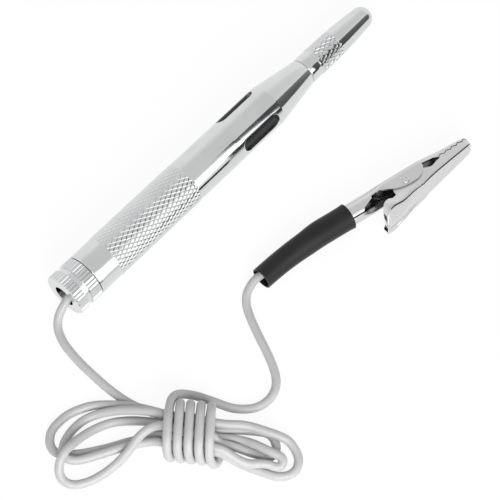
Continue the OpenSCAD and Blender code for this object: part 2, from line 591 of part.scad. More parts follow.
// Barrel of the upper jaw: a rolled tube, closed along a slit, cut open below the lever
// on its upper flank, where its far flank runs on as a trough
slit_from = 139;
slit_to = 147;
cut_w = clip_r * sin(slit_to);
cut_u = neck_u - 3.6;
trough_u = neck_u + 3;
module rolled_barrel() difference() {
    translate([-clip_tail_l, clip_axis_y, 0]) rotate([0, 90, 0])
        tube(clip_barrel_d, 2 * clip_bore_r, 0, clip_tail_l + trough_u);
    translate([neck_u + 0.05, clip_axis_y, -clip_barrel_d])
        cube([clip_tail_l, clip_barrel_d, 2 * clip_barrel_d]);
    translate([0, 0, cut_w]) linear_extrude(clip_barrel_d) polygon([[neck_u + 0.4, clip_axis_y + weld],
        [neck_u, clip_axis_y - 0.7], [cut_u, clip_axis_y - 1.95], [cut_u, -clip_r], [trough_u + 1, -clip_r],
        [trough_u + 1, clip_axis_y + weld]]);
    translate([-clip_tail_l - 1, clip_axis_y, 0]) rotate([0, 90, 0]) linear_extrude(clip_tail_l)
        polygon([[0, 0], for (a = [slit_from, slit_to]) clip_barrel_d * [-sin(a), cos(a)]]);
}
module clip_upper_jaw() color("silver") in_clip() difference() {
    union() {
        intersection() {
            folded(upper_stations, -6, 1);
            upper_side();
        }
        rolled_barrel();
    }
    bore(rivet_d + 2 * press, -ears_w, ears_w);
}
module clip_lower_jaw() color("silver") in_clip() difference() {
    intersection() {
        folded(lower_stations, -6, -1);
        lower_side();
    }
    bore(rivet_d + 2 * fit, -ears_w, ears_w);
}
module clip_rivet() color("lightgray") in_clip() {
    bore(rivet_d, -ears_r - rivet_head_h, ears_r + rivet_head_h);
    for (s = [-1, 1]) mirror([0, 0, (s + 1) / 2]) translate([0, 0, -ears_r - rivet_head_h])
        turned([[rivet_head_d / 2 - 0.15, 0], [rivet_head_d / 2, 0.12], [rivet_head_d / 2, rivet_head_h]]);
}
// Spring round the rivet, with a leg against the back of each jaw
spring_play = 0.35;
clip_coil_r = rivet_d / 2 + spring_play + clip_wire / 2;
// Where each leg ends, just inside the back that it presses on
upper_leg = [-6, back_y - sheet_t - clip_wire / 2 - fit];
lower_leg = [-6.6, -5.65 + clip_wire / 2];
// Length of a leg from its end to the coil, and the angle at which it meets the coil
function leg_l(end) = sqrt(end * end - clip_coil_r * clip_coil_r);
function leg_turn(end) = acos(clip_coil_r / norm(end));
lower_turn = atan2(lower_leg[1], lower_leg[0]) + leg_turn(lower_leg);
upper_turn = atan2(upper_leg[1], upper_leg[0]) - leg_turn(upper_leg) + 360 * clip_turns;
coil_half_l = (upper_turn - lower_turn) / 360 * (clip_wire + seam) / 2;
module clip_spring() color("silver") in_clip() loft(wire_rings(clip_coil_r, clip_wire / 2, concat(
    [[lower_turn, -leg_l(lower_leg), -coil_half_l]],
    coil_stops(lower_turn, upper_turn, -coil_half_l, coil_half_l, 14 * clip_turns + 6),
    [[upper_turn, leg_l(upper_leg), coil_half_l]]), 8));

barrel();
end_cap();
probe_cap();
probe_needle();
needle_holder();
nose_insulator();
window_liner();
bulb_glass();
bulb_front_cap();
bulb_rear_cap();
bulb_filament();
contact_cup();
contact_spring();
lead_terminal();
rear_insulator();
lead_stop();
lead_core();
rear_lead();
lead_hank();
front_lead();
clip_core();
clip_solder();
clip_sleeve();
clip_upper_jaw();
clip_lower_jaw();
clip_rivet();
clip_spring();
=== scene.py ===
"""Looks of a pocket test light: a chromed, knurled pen with a capped needle and a lamp
behind dark windows, a grey lead folded into a hank, and a sleeved crocodile clip."""
import json
import math

import bmesh
import bpy
import numpy as np
from bpy.props import FloatProperty, FloatVectorProperty, PointerProperty
from mathutils import Matrix, Vector


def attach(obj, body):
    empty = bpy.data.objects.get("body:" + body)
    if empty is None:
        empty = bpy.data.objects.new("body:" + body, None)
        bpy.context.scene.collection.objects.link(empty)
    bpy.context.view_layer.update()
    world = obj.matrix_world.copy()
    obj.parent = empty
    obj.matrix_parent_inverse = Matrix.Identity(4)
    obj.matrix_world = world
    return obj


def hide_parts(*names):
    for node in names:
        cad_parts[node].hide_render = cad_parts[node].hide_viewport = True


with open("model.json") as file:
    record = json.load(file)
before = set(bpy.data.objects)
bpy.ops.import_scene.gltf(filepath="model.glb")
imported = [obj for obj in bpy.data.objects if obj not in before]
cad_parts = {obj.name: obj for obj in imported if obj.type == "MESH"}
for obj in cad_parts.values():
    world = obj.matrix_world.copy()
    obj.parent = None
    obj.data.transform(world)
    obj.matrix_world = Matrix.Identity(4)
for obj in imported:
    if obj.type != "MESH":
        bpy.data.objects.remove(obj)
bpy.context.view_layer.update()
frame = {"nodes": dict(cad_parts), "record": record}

bl_info = {
    "name": "Test light",
    "version": (1, 0, 0),
    "blender": (4, 5, 0),
    "location": "3D View > Sidebar > Test light",
    "description": "Builds the surfaces, lead and materials of a pocket test light on its CAD frame",
    "category": "Object",
}

MM = 0.001
# Pen, in mm: half its length, the height of its axis, its radius and its bore's, then places
# forwards from its rear face: the barrel's rear face, the grip's ends and the cone's start
HALF = 62.25
AXIS = 6.6
BODY_R = 6.5
BORE_R = 5.5
REAR = 8.25
GRIP = (15.35, 46.9)
CONE = 81.2
# Windows: both ends and the width in mm, the first one's turn in degrees and their number, then
# the grid steps along a window's side and round the pen in each window's sector
WINDOW = (65.3, 79.3, 4.3)
WINDOW_MID = (WINDOW[0] + WINDOW[1]) / 2
WINDOW_HALF = ((WINDOW[1] - WINDOW[0]) / 2, WINDOW[2] / 2)
WINDOW_TURN = 68.0
SECTORS = 3
SIDE_STEPS = 44
SECTOR_COLUMNS = 124
# Knurl: grid steps to a diamond, the share of the way to a diamond's middle that is groove, and
# the rows over which the grooves fade out
DIAMOND = 12
GROOVE = 0.34
FADE_ROWS = 3.0
# Clip: its rivet in mm, its turn and roll, then in mm its sheet, the barrel's radius, height, neck
# and rear end, and the height down to which the lower jaw's walls lean in
CLIP_AT = np.array([25.15, -45.6, 4.81])
CLIP_TURN = math.radians(-13.5)
CLIP_ROLL = math.radians(-7)
SHEET = 0.5
BARREL_R = 3.15
BARREL_Y = 2.0
NECK = -10.5
TAIL = -28
EAR = 1.7
# Jaws, in mm: their tip and the first tooth, then the number, pitch and depth of the teeth and
# the share of the pitch over which a tooth falls
JAW = 23.3
TOOTH_U = JAW - 1.3
TEETH = 5
PITCH = 2.15
DEPTH = 0.62
FALL = 0.44
# Lip of the thumb lever: the shares of the half width where it starts and over which it rises
LIP_START = 0.5
LIP_RISE = 0.24
# Points round the rivet and the sleeve
ROUND = 72
# Height of the lead's middle line up to which it lies on the floor, in mm
ON_FLOOR = 1.24
# Lead's middle line in mm, from the stop in the end cap, through the hank to the clip
LEAD = (
    (-55.25, 0, 6.6), (-60.41, -0.69, 6.13), (-63.46, -1.13, 5.11), (-66.19, -1.64, 3.33),
    (-68.16, -2.9, 2.02), (-69.59, -4.95, 1.3), (-70.9, -8.66, 1.23), (-71.76, -14.62, 1.23),
    (-72.03, -20.65, 1.23), (-71.95, -26.68, 1.23), (-71.21, -32.66, 1.23), (-69.36, -38.38, 1.39),
    (-67.01, -43.5, 3.16), (-64.61, -47.91, 4.92), (-62.13, -52.88, 5.52), (-59.86, -56.1, 5.06),
    (-56.1, -60.19, 4.07), (-53.56, -65.27, 3.79), (-52.12, -68.55, 3.31), (-51.43, -70.66, 2.62),
    (-51.67, -73.01, 1.93), (-52.48, -75.05, 1.55), (-53.77, -76.44, 1.35), (-55.4, -77.14, 1.24),
    (-57.14, -77.09, 1.23), (-58.75, -76.28, 1.23), (-60.44, -74.48, 1.23), (-62.18, -70.58, 1.23),
    (-64.18, -65.53, 1.8), (-65.49, -62, 3.63), (-66.64, -59.92, 4.62), (-68.27, -57.85, 4.75),
    (-69.57, -55.49, 5.32), (-70.67, -52.13, 6.02), (-71.21, -49.32, 5.67), (-71.52, -47.14, 4.5),
    (-72.44, -45.49, 3.22), (-74.81, -43, 1.75), (-79.1, -40.06, 1.23), (-84.3, -36.99, 1.23),
    (-89.27, -33.57, 1.24), (-92.52, -30.62, 1.23), (-93.58, -29.15, 1.23), (-94.02, -27.68, 1.23),
    (-93.76, -26.17, 1.23), (-92.86, -24.75, 1.26), (-91.1, -23.38, 1.29), (-88.53, -22.73, 1.25),
    (-83.97, -23.14, 1.23), (-78.7, -25.67, 1.27), (-74.77, -29.96, 2.08), (-71.7, -34.96, 3.45),
    (-69.47, -39.71, 4.37), (-68.62, -42.21, 4.94), (-68.57, -44.97, 4.81), (-67.64, -48.16, 4.13),
    (-64.72, -52.06, 3.66), (-61.21, -55.65, 2.92), (-56.99, -59.55, 1.44), (-54.16, -63.2, 1.23),
    (-53.24, -64.82, 1.23), (-52.99, -66.45, 1.23), (-53.45, -67.98, 1.23), (-54.2, -69.07, 1.23),
    (-54.99, -69.77, 1.23), (-55.86, -70.17, 1.23), (-56.79, -70.17, 1.23), (-57.62, -69.74, 1.23),
    (-58.25, -68.97, 1.23), (-58.84, -67.74, 1.23), (-60.22, -65.03, 1.51), (-62.47, -61.24, 3.31),
    (-64.19, -59.19, 4.79), (-64.86, -57.89, 6.06), (-64.98, -56.74, 7.27), (-65.61, -55.67, 8.2),
    (-66.69, -54.54, 8.55), (-68.27, -52.43, 8.53), (-70.32, -47.92, 8.61), (-71.79, -45.32, 8.32),
    (-73.92, -43.49, 7.33), (-77.09, -42.54, 6.18), (-81.96, -42.7, 4.38), (-86.96, -42.1, 2.1),
    (-92.65, -40.55, 1.23), (-95.86, -38.9, 1.23), (-97.3, -37.55, 1.32), (-98.06, -36.09, 1.67),
    (-98.17, -34.57, 2.31), (-97.61, -33.29, 3.2), (-96.53, -32.35, 4.32), (-95.09, -31.69, 5.39),
    (-93.35, -31.27, 5.84), (-91.43, -31.01, 5.49), (-87.68, -30.7, 3.76), (-82.6, -31.22, 1.75),
    (-78.33, -33.04, 1.23), (-74.92, -36.32, 1.86), (-72.14, -41.02, 3.97), (-70.81, -44.4, 5.84),
    (-69.84, -46.74, 6.38), (-68.06, -50.97, 6.18), (-67.26, -54.5, 6.17), (-67.3, -57.02, 6.77),
    (-66.73, -59.16, 7.12), (-65.72, -61.45, 6.63), (-64.74, -64.84, 4.96), (-63.26, -67.76, 3.83),
    (-61.01, -70, 3.42), (-59.7, -71.67, 3.14), (-59.32, -72.62, 2.95), (-58.9, -73.32, 2.84),
    (-58.22, -73.81, 2.83), (-57.46, -73.92, 2.93), (-56.77, -73.64, 3.12), (-56.32, -73.03, 3.32),
    (-56.22, -72.22, 3.47), (-56.48, -71.33, 3.56), (-56.98, -69.74, 3.6), (-58.12, -65, 2.93),
    (-59.2, -61.92, 2.16), (-61.07, -59.13, 2.51), (-63.32, -57, 3.68), (-64.62, -54.67, 5.27),
    (-65.37, -51.41, 6.24), (-67.56, -46.19, 7.05), (-69.73, -41.75, 7.19), (-72.55, -36.84, 5.67),
    (-75.81, -32.23, 3.56), (-79.35, -28.78, 1.79), (-82.73, -27.18, 1.27), (-86.54, -26.97, 1.46),
    (-89.94, -27.94, 2.54), (-91.59, -28.84, 3.29), (-92.59, -29.64, 3.58), (-93.3, -30.56, 3.53),
    (-93.59, -31.65, 3.36), (-93.34, -32.75, 3.17), (-92.63, -33.76, 3.02), (-91.22, -34.95, 2.88),
    (-86.9, -37.52, 2.84), (-81.65, -40.48, 2.99), (-76.8, -43.97, 3.32), (-74.47, -46.62, 3.96),
    (-73.05, -49.11, 3.72), (-70.57, -51.74, 3.64), (-67.68, -54.92, 3.79), (-66.61, -56.47, 3.63),
    (-66.11, -57.74, 3.06), (-66.06, -58.74, 2.55), (-66.3, -59.64, 2.19), (-66.84, -60.43, 2.05),
    (-67.62, -60.97, 2.17), (-68.48, -61.19, 2.57), (-69.19, -61.12, 3.27), (-69.63, -60.88, 4.21),
    (-69.79, -60.49, 5.48), (-69.45, -59.78, 7.38), (-68.25, -58.63, 9.45), (-66.67, -57.34, 10.63),
    (-64.69, -55.69, 10.88), (-62.31, -53.71, 10.77), (-60.73, -52.37, 10.12), (-59.57, -51.35, 8.73),
    (-59.01, -50.77, 6.8), (-59.19, -50.72, 4.7), (-60.09, -51.19, 2.86), (-61.52, -52.14, 1.64),
    (-63.29, -53.51, 1.23), (-66.12, -55.81, 1.23), (-68.02, -57.19, 1.44), (-69.63, -58.1, 2.42),
    (-70.84, -58.51, 4.08), (-71.41, -58.39, 6.13), (-71.21, -57.8, 8.15), (-70.25, -56.83, 9.76),
    (-68.75, -55.55, 10.66), (-66.3, -53.5, 10.89), (-63.75, -51.37, 10.74), (-62.2, -50.06, 10.02),
    (-61.08, -49.08, 8.57), (-60.59, -48.55, 6.6), (-60.84, -48.54, 4.52), (-61.79, -49.05, 2.74),
    (-63.23, -50.03, 1.59), (-65.04, -51.45, 1.23), (-67.96, -53.83, 1.23), (-69.81, -55.12, 1.52),
    (-71.4, -55.97, 2.58), (-72.54, -56.32, 4.3), (-73.03, -56.14, 6.36), (-72.73, -55.51, 8.36),
    (-71.71, -54.5, 9.89), (-70.16, -53.19, 10.71), (-67.57, -51.03, 10.87), (-65.2, -49.05, 10.7),
    (-63.68, -47.76, 9.92), (-62.61, -46.8, 8.41), (-62.18, -46.32, 6.42), (-62.5, -46.37, 4.34),
    (-63.5, -46.92, 2.6), (-64.98, -47.93, 1.53), (-66.86, -49.42, 1.23), (-69.73, -51.76, 1.23),
    (-71.55, -53.01, 1.58), (-73.11, -53.82, 2.7), (-74.21, -54.13, 4.47), (-74.64, -53.9, 6.55),
    (-74.27, -53.23, 8.51), (-73.19, -52.2, 9.99), (-71.6, -50.85, 10.75), (-68.7, -48.44, 10.91),
    (-66.54, -46.63, 10.63), (-65.11, -45.42, 9.76), (-64.12, -44.56, 8.21), (-63.77, -44.1, 6.18),
    (-63.93, -44.09, 4.39), (-64.16, -44.26, 3.16), (-64.68, -44.6, 2.18), (-65.55, -45.1, 1.61),
    (-66.71, -45.84, 1.33), (-69.56, -48.14, 1.23), (-71.95, -50, 1.23), (-73.58, -51.03, 1.73),
    (-75, -51.72, 3.04), (-75.99, -51.92, 4.98), (-76.22, -51.57, 7.09), (-75.65, -50.79, 8.97),
    (-74.42, -49.67, 10.27), (-72.64, -48.19, 10.85), (-70.05, -45.95, 10.82), (-66.72, -43.36, 9.35),
    (-64.44, -42.04, 8.05), (-62.4, -41.84, 6.49), (-60.27, -42.78, 4.37), (-57.91, -45.07, 2.24),
    (-56.15, -48.39, 1.29), (-53.97, -53.6, 1.23), (-50.89, -57.16, 1.23), (-47.72, -58.72, 1.23),
    (-44.33, -58.78, 1.23), (-41.38, -57.5, 1.23), (-38.82, -54.66, 1.23), (-36.08, -49.39, 1.23),
    (-33.7, -43.85, 1.23), (-31.08, -38.48, 1.23), (-28.93, -35.41, 1.7), (-26.39, -33.8, 2.44),
    (-22.68, -33.24, 3.13), (-17.09, -34.19, 3.46), (-11.16, -35.26, 3.73), (-5.25, -36.3, 4.3),
)


# Meshes and small helpers

def grid_faces(rows, columns, wrap=True, first=0):
    """Quads of a grid of rows by columns points, row after row, each facing the side that a
    turn from the next column to the next row points at. wrap joins the last column to the first."""
    r = np.arange(rows - 1)[:, None]
    c = np.arange(columns if wrap else columns - 1)[None, :]
    n = (c + 1) % columns
    quads = np.stack([r * columns + c, r * columns + n, (r + 1) * columns + n, (r + 1) * columns + c], -1)
    return quads.reshape(-1, 4) + first


def new_object(name, parts, material, sharp=35.0, merge=0.001, unit=MM):
    """One mesh object from (points, faces) parts, with doubled points merged, faces turned outwards,
    and edges sharp where faces meet at more than the given angle. Points are in mm. With a unit
    of 1 they are in metres, or soften() brings the solid to its size later."""
    mesh = bpy.data.meshes.new(name)
    points, faces, start = [], [], 0
    for p, f in parts:
        p = np.asarray(p, float).reshape(-1, 3)
        points.append(p)
        faces += (np.asarray(f) + start).tolist() if isinstance(f, np.ndarray) else [
            [i + start for i in face] for face in f]
        start += len(p)
    mesh.from_pydata((np.concatenate(points) * unit).tolist(), [], faces)
    body = bmesh.new()
    body.from_mesh(mesh)
    if merge:
        bmesh.ops.remove_doubles(body, verts=body.verts, dist=merge * unit)
    bmesh.ops.recalc_face_normals(body, faces=body.faces)
    if body.calc_volume(signed=True) < 0:
        bmesh.ops.reverse_faces(body, faces=body.faces)
    body.to_mesh(mesh)
    body.free()
    obj = bpy.data.objects.new(name, mesh)
    bpy.context.scene.collection.objects.link(obj)
    finish_mesh(obj, material, sharp)
    return obj


def finish_mesh(obj, material, sharp):
    """Smooth shading up to the given angle, and the one material."""
    mesh = obj.data
    mesh.polygons.foreach_set("use_smooth", np.ones(len(mesh.polygons), bool))
    mesh.set_sharp_from_angle(angle=math.radians(sharp))
    if material:
        mesh.materials.append(material)
    mesh.update()


def evaluated(obj):
    """Replaces an object's mesh by what its modifiers make of it."""
    graph = bpy.context.evaluated_depsgraph_get()
    mesh = bpy.data.meshes.new_from_object(obj.evaluated_get(graph))
    obj.modifiers.clear()
    old = obj.data
    obj.data = mesh
    bpy.data.meshes.remove(old)


def settle(x, y, at):
    """Values at the places at of a smooth curve through (x, y) that never overshoots them:
    the slope at a point is the harmonic mean of the slopes on its two sides, or nothing at a
    turning point, and a cubic runs from point to point."""
    x, y, at = np.asarray(x, float), np.asarray(y, float), np.asarray(at, float)
    h, d = np.diff(x), np.diff(y) / np.diff(x)
    m = np.concatenate([d[:1], np.zeros(len(x) - 2), d[-1:]])
    same = d[:-1] * d[1:] > 0
    m[1:-1][same] = (2 * d[:-1] * d[1:])[same] / (d[:-1] + d[1:])[same]
    i = np.clip(np.searchsorted(x, at) - 1, 0, len(h) - 1)
    t = (at - x[i]) / h[i]
    return (y[i] * (1 + 2 * t) * (1 - t) ** 2 + m[i] * h[i] * t * (1 - t) ** 2
            + y[i + 1] * t * t * (3 - 2 * t) + m[i + 1] * h[i] * t * t * (t - 1))


def through(points, steps):
    """Smooth curve through rows of numbers with so many steps from each to the next; a point
    between b and c also heeds their outer neighbours a and d."""
    p = np.asarray(points, float)
    e = np.vstack([p[:1], p, p[-1:]])
    a, b, c, d = (e[i:len(e) - 3 + i, None] for i in range(4))
    t = (np.arange(steps) / steps)[None, :, None]
    curve = 0.5 * (2 * b + (c - a) * t + (2 * a - 5 * b + 4 * c - d) * t ** 2
                   + (3 * b - a - 3 * c + d) * t ** 3)
    return np.vstack([curve.reshape(-1, p.shape[1]), p[-1:]])


def on_pen(x, r, turn):
    """Point x mm forwards from the pen's rear face, r from its axis, turned from straight up
    towards -Y."""
    x, r, turn = np.broadcast_arrays(x, r, turn)
    return np.stack([x - HALF, -r * np.sin(turn), AXIS + r * np.cos(turn)], -1)


def on_clip(u, y, w):
    """Point u mm along the clip from its rivet, y towards the upper jaw's back, w along the rivet."""
    u, y, w = np.broadcast_arrays(u, y, w)
    side = y * math.cos(CLIP_ROLL) - w * math.sin(CLIP_ROLL)
    up = y * math.sin(CLIP_ROLL) + w * math.cos(CLIP_ROLL)
    return CLIP_AT + np.stack([u * math.cos(CLIP_TURN) - side * math.sin(CLIP_TURN),
                               u * math.sin(CLIP_TURN) + side * math.cos(CLIP_TURN), up], -1)


# Materials

class Nodes:
    """An emptied node tree, with short ways to add noise, colours and bumps to it."""

    def __init__(self, tree):
        self.tree = tree
        tree.nodes.clear()

    @classmethod
    def finish(cls, name):
        """Tree of a material with one shader; patterns read coordinates in metres on the object."""
        material = bpy.data.materials.get(name) or bpy.data.materials.new(name)
        material.use_nodes = True
        n = cls(material.node_tree)
        n.material = material
        n.out = n.add("ShaderNodeOutputMaterial")
        n.shader = n.add("ShaderNodeBsdfPrincipled")
        n.join(n.shader.outputs[0], n.out.inputs["Surface"])
        n.place = n.add("ShaderNodeTexCoord").outputs["Object"]
        return n

    def add(self, kind, **settings):
        """A new node of a kind, with its settings."""
        node = self.tree.nodes.new(kind)
        for key, value in settings.items():
            setattr(node, key, value)
        return node

    def join(self, a, b):
        """A link from one socket to another."""
        self.tree.links.new(a, b)

    def set(self, **values):
        """Sets the shader's sockets by their names."""
        for key, value in values.items():
            socket = self.shader.inputs[key.replace("_", " ").title().replace("Ior", "IOR")]
            socket.default_value = value

    def stretched(self, scale):
        """The object's coordinates, scaled."""
        node = self.add("ShaderNodeMapping")
        node.inputs["Scale"].default_value = scale
        self.join(self.place, node.inputs["Vector"])
        return node.outputs["Vector"]

    def noise(self, scale, detail=4.0, rough=0.5, vector=None):
        """Noise from 0 to 1 on the object's coordinates or on another vector."""
        node = self.add("ShaderNodeTexNoise")
        node.inputs["Scale"].default_value = scale
        node.inputs["Detail"].default_value = detail
        node.inputs["Roughness"].default_value = rough
        self.join(vector or self.place, node.inputs["Vector"])
        return node.outputs["Fac"]

    def spread(self, factor, low, high, start=0.3, end=0.7):
        """factor from start to end, as a number from low to high."""
        node = self.add("ShaderNodeMapRange")
        for name, value in (("From Min", start), ("From Max", end), ("To Min", low), ("To Max", high)):
            node.inputs[name].default_value = value
        self.join(factor, node.inputs["Value"])
        return node.outputs["Result"]

    def blend(self, factor, a, b, start=0.3, end=0.7):
        """A colour from a to b as factor goes from start to end."""
        node = self.add("ShaderNodeValToRGB")
        node.color_ramp.elements[0].position = start
        node.color_ramp.elements[1].position = end
        node.color_ramp.elements[0].color = (*a, 1)
        node.color_ramp.elements[1].color = (*b, 1)
        self.join(factor, node.inputs["Fac"])
        return node.outputs["Color"]

    def bump(self, height, strength, distance, under=None):
        """Bump of a height in metres times distance, on top of another."""
        node = self.add("ShaderNodeBump")
        node.inputs["Strength"].default_value = strength
        node.inputs["Distance"].default_value = distance
        self.join(height, node.inputs["Height"])
        if under:
            self.join(under, node.inputs["Normal"])
        return node.outputs["Normal"]


def shade(colour, share):
    """A colour made darker or lighter by a share."""
    return tuple(min(1.0, c * share) for c in colour)


def metal(name, colour, rough, marks=(1.0, 1.0, 1.0), mark_scale=900.0, mark_depth=0.000002, haze=0.35):
    """Metal with a faint cloudiness, fine marks stretched along one direction, and a haze that
    roughens it here and there."""
    n = Nodes.finish(name)
    cloud = n.noise(90.0, 3.0)
    fine = n.noise(mark_scale, 3.0, 0.6, n.stretched(marks))
    n.set(metallic=1.0)
    n.join(n.blend(cloud, shade(colour, 0.94), shade(colour, 1.03)), n.shader.inputs["Base Color"])
    n.join(n.spread(cloud, rough * (1 - haze), rough * (1 + haze)), n.shader.inputs["Roughness"])
    n.join(n.bump(fine, 0.25, mark_depth), n.shader.inputs["Normal"])
    return n.material


def plastic(name, colour, rough, grain=1500.0, depth=0.00001, mottle=0.05, shine=0.5):
    """Plastic or rubber with a slight mottle, a fine grain and uneven gloss."""
    n = Nodes.finish(name)
    cloud = n.noise(140.0, 4.0)
    fine = n.noise(grain, 2.0)
    n.set(specular_ior_level=shine)
    tone = n.blend(cloud, shade(colour, 1 - mottle), shade(colour, 1 + mottle))
    n.join(tone, n.shader.inputs["Base Color"])
    n.join(n.spread(cloud, rough * 0.85, rough * 1.15), n.shader.inputs["Roughness"])
    n.join(n.bump(fine, 0.3, depth), n.shader.inputs["Normal"])
    return n.material


def glass(name, colour, rough):
    """Thin glass with faint streaks in its gloss."""
    n = Nodes.finish(name)
    streak = n.noise(300.0, 2.0, 0.5, n.stretched((0.2, 1, 1)))
    n.set(transmission_weight=1.0, ior=1.5)
    n.join(n.blend(streak, shade(colour, 0.97), colour), n.shader.inputs["Base Color"])
    n.join(n.spread(streak, rough, rough * 3), n.shader.inputs["Roughness"])
    return n.material


# Settings

class PenSettings(bpy.types.PropertyGroup):
    """Sizes and colours of the pen."""
    plating: FloatVectorProperty(
        name="Plating", description="Colour of the chrome on the pen", subtype="COLOR",
        default=(0.69, 0.695, 0.70), min=0, max=1)
    gloss: FloatProperty(
        name="Plating roughness", description="Roughness of the chrome", default=0.09, min=0, max=1)
    knurl_depth: FloatProperty(
        name="Knurl depth", description="Depth of the grooves of the knurled grip", default=0.00012,
        min=0.0001, max=0.0006, unit="LENGTH", precision=5)
    cap_knurl_depth: FloatProperty(
        name="Cap knurl depth", description="Depth of the grooves of the cap's knurled band",
        default=0.0002, min=0.0001, max=0.0004, unit="LENGTH", precision=5)
    window_edge: FloatProperty(
        name="Window edge", description="Radius of the rounded edge round a window", default=0.00018,
        min=0.00005, max=0.0003, unit="LENGTH", precision=5)
    window: FloatVectorProperty(
        name="Window tube", description="Colour of the smoked tube behind the windows", subtype="COLOR",
        default=(0.012, 0.012, 0.014), min=0, max=1)


class LeadSettings(bpy.types.PropertyGroup):
    """Size and colours of the lead and its sleeve."""
    colour: FloatVectorProperty(
        name="Lead", description="Colour of the lead's insulation", subtype="COLOR",
        default=(0.53, 0.53, 0.53), min=0, max=1)
    diameter: FloatProperty(
        name="Lead diameter", description="Diameter of the lead", default=0.0024, min=0.002, max=0.0025,
        unit="LENGTH", precision=4)
    sleeve: FloatVectorProperty(
        name="Sleeve", description="Colour of the rubber sleeve", subtype="COLOR",
        default=(0.01, 0.01, 0.0102), min=0, max=1)


class ClipSettings(bpy.types.PropertyGroup):
    """Sizes and colours of the crocodile clip."""
    plating: FloatVectorProperty(
        name="Plating", description="Colour of the nickel on the clip", subtype="COLOR",
        default=(0.675, 0.675, 0.674), min=0, max=1)
    gloss: FloatProperty(
        name="Plating roughness", description="Roughness of the nickel", default=0.16, min=0, max=1)
    edge: FloatProperty(
        name="Edge", description="Width of the rounded edge of the sheet", default=0.00007, min=0, max=0.0002,
        unit="LENGTH", precision=5)


class StageSettings(bpy.types.PropertyGroup):
    """Light and floor."""
    sky: FloatProperty(name="Sky", description="Strength of the light from all round", default=0.53, min=0)
    key: FloatProperty(
        name="Key light", description="Power of the soft light from the camera's side", default=1.8,
        min=0, unit="POWER")
    soft_box: FloatProperty(
        name="Soft box", description="Strength of the long soft box that the chrome mirrors",
        default=1.8, min=0)
    flag: FloatProperty(
        name="Dark card", description="Brightness of the dark cards that the chrome mirrors",
        default=0.06, min=0)
    floor: FloatProperty(
        name="Floor", description="Side of the floor", default=1.6, min=0.5, unit="LENGTH")


# Pen

def chrome(pen):
    """The pen's plating, with faint turning marks round its axis."""
    return metal("Chrome", pen.plating, pen.gloss, (3.0, 0.15, 0.15), 700.0, 0.000005)


def ring_turns(columns, start):
    """Turns of so many columns, evenly spaced round an axis, from a start in degrees."""
    return math.radians(start) + 2 * math.pi * np.arange(columns) / columns


def turned(outline, turns):
    """Surface of revolution about the pen's axis from (place, radius) points."""
    x, r = np.asarray(outline, float).T
    points = on_pen(x[:, None], r[:, None], turns[None, :])
    return points.reshape(-1, 3), grid_faces(len(x), len(turns))


def knurl(start, end, radius, depth, rows, turns):
    """Diamond knurl with so many grid rows along it. Grooves run both ways round, where the sum or
    the difference of the row and column numbers is a multiple of DIAMOND. The surface rises from
    the nearest groove in half a cosine wave and then stays level, and the grooves fade out over
    the last rows. Triangles are split along the grooves."""
    columns = len(turns)
    i, j = np.meshgrid(np.arange(rows + 1), np.arange(columns), indexing="ij")
    a, b = (i + j) % DIAMOND, (i - j) % DIAMOND
    near = np.minimum(np.minimum(a, DIAMOND - a), np.minimum(b, DIAMOND - b)) * 2.0 / DIAMOND
    low = 0.5 + 0.5 * np.cos(math.pi * np.minimum(1, near / GROOVE))
    fade = np.clip(np.minimum(i, rows - i) / FADE_ROWS, 0, 1)
    r = radius(np.linspace(0, 1, rows + 1))[:, None] - depth * low * fade
    points = on_pen(np.linspace(start, end, rows + 1)[:, None], r, turns[None, :])
    q = grid_faces(rows + 1, columns)
    i, j = i[:-1].ravel(), j[:-1].ravel()
    other = (i + j + 1) % DIAMOND == 0
    first = np.where(other[:, None], q[:, [0, 1, 3]], q[:, [0, 1, 2]])
    second = np.where(other[:, None], q[:, [1, 2, 3]], q[:, [0, 2, 3]])
    return points.reshape(-1, 3), np.concatenate([first, second])


def slot_outline(margin):
    """Closed outline of a window, grown by a margin: each long side, with a twelfth of a turn at
    both its ends, has SIDE_STEPS steps, and the rest of each end has SECTOR_COLUMNS. Points
    start at the rear end's left corner and run forwards first."""
    half_l, half_w = WINDOW_HALF
    r = half_w + margin
    straight = half_l - half_w
    reach = straight + r * math.pi / 6
    t = np.linspace(-reach, reach, SIDE_STEPS + 1)[:-1]
    bend = np.clip(np.abs(t) - straight, 0, None) / r * np.sign(t)
    side = np.stack([np.clip(t, -straight, straight) + r * np.sin(bend), r * np.cos(bend)])
    turn = np.linspace(math.pi / 3, -math.pi / 3, SECTOR_COLUMNS + 1)[:-1]
    end = np.stack([straight + r * np.cos(turn), r * np.sin(turn)])
    return np.hstack([side, end, -side, -end])


def sector_outline(half_l):
    """Outline of the sector of the barrel round one window, with points to match the slot's."""
    side = np.stack([np.linspace(-1, 1, SIDE_STEPS + 1)[:-1], np.ones(SIDE_STEPS)])
    end = np.stack([np.ones(SECTOR_COLUMNS), np.linspace(1, -1, SECTOR_COLUMNS + 1)[:-1]])
    return np.hstack([side, end, -side, -end]) * [[half_l], [math.pi / SECTORS]]


def window_sheet(start, end, r, margin, turn, rings):
    """Sector of a cylinder of radius r with one slot in it. Rings of points pass from the
    sector's outline to the slot's, closer together near the slot."""
    x0, t0 = sector_outline((end - start) / 2)
    x1, w1 = slot_outline(margin)
    t1 = np.arcsin(w1 / r)
    share = np.linspace(0, 1, rings)[:, None] ** 0.8
    points = on_pen(WINDOW_MID + x0 + (x1 - x0) * share, r, turn + t0 + (t1 - t0) * share)
    return points.reshape(-1, 3), grid_faces(rings, len(x0))


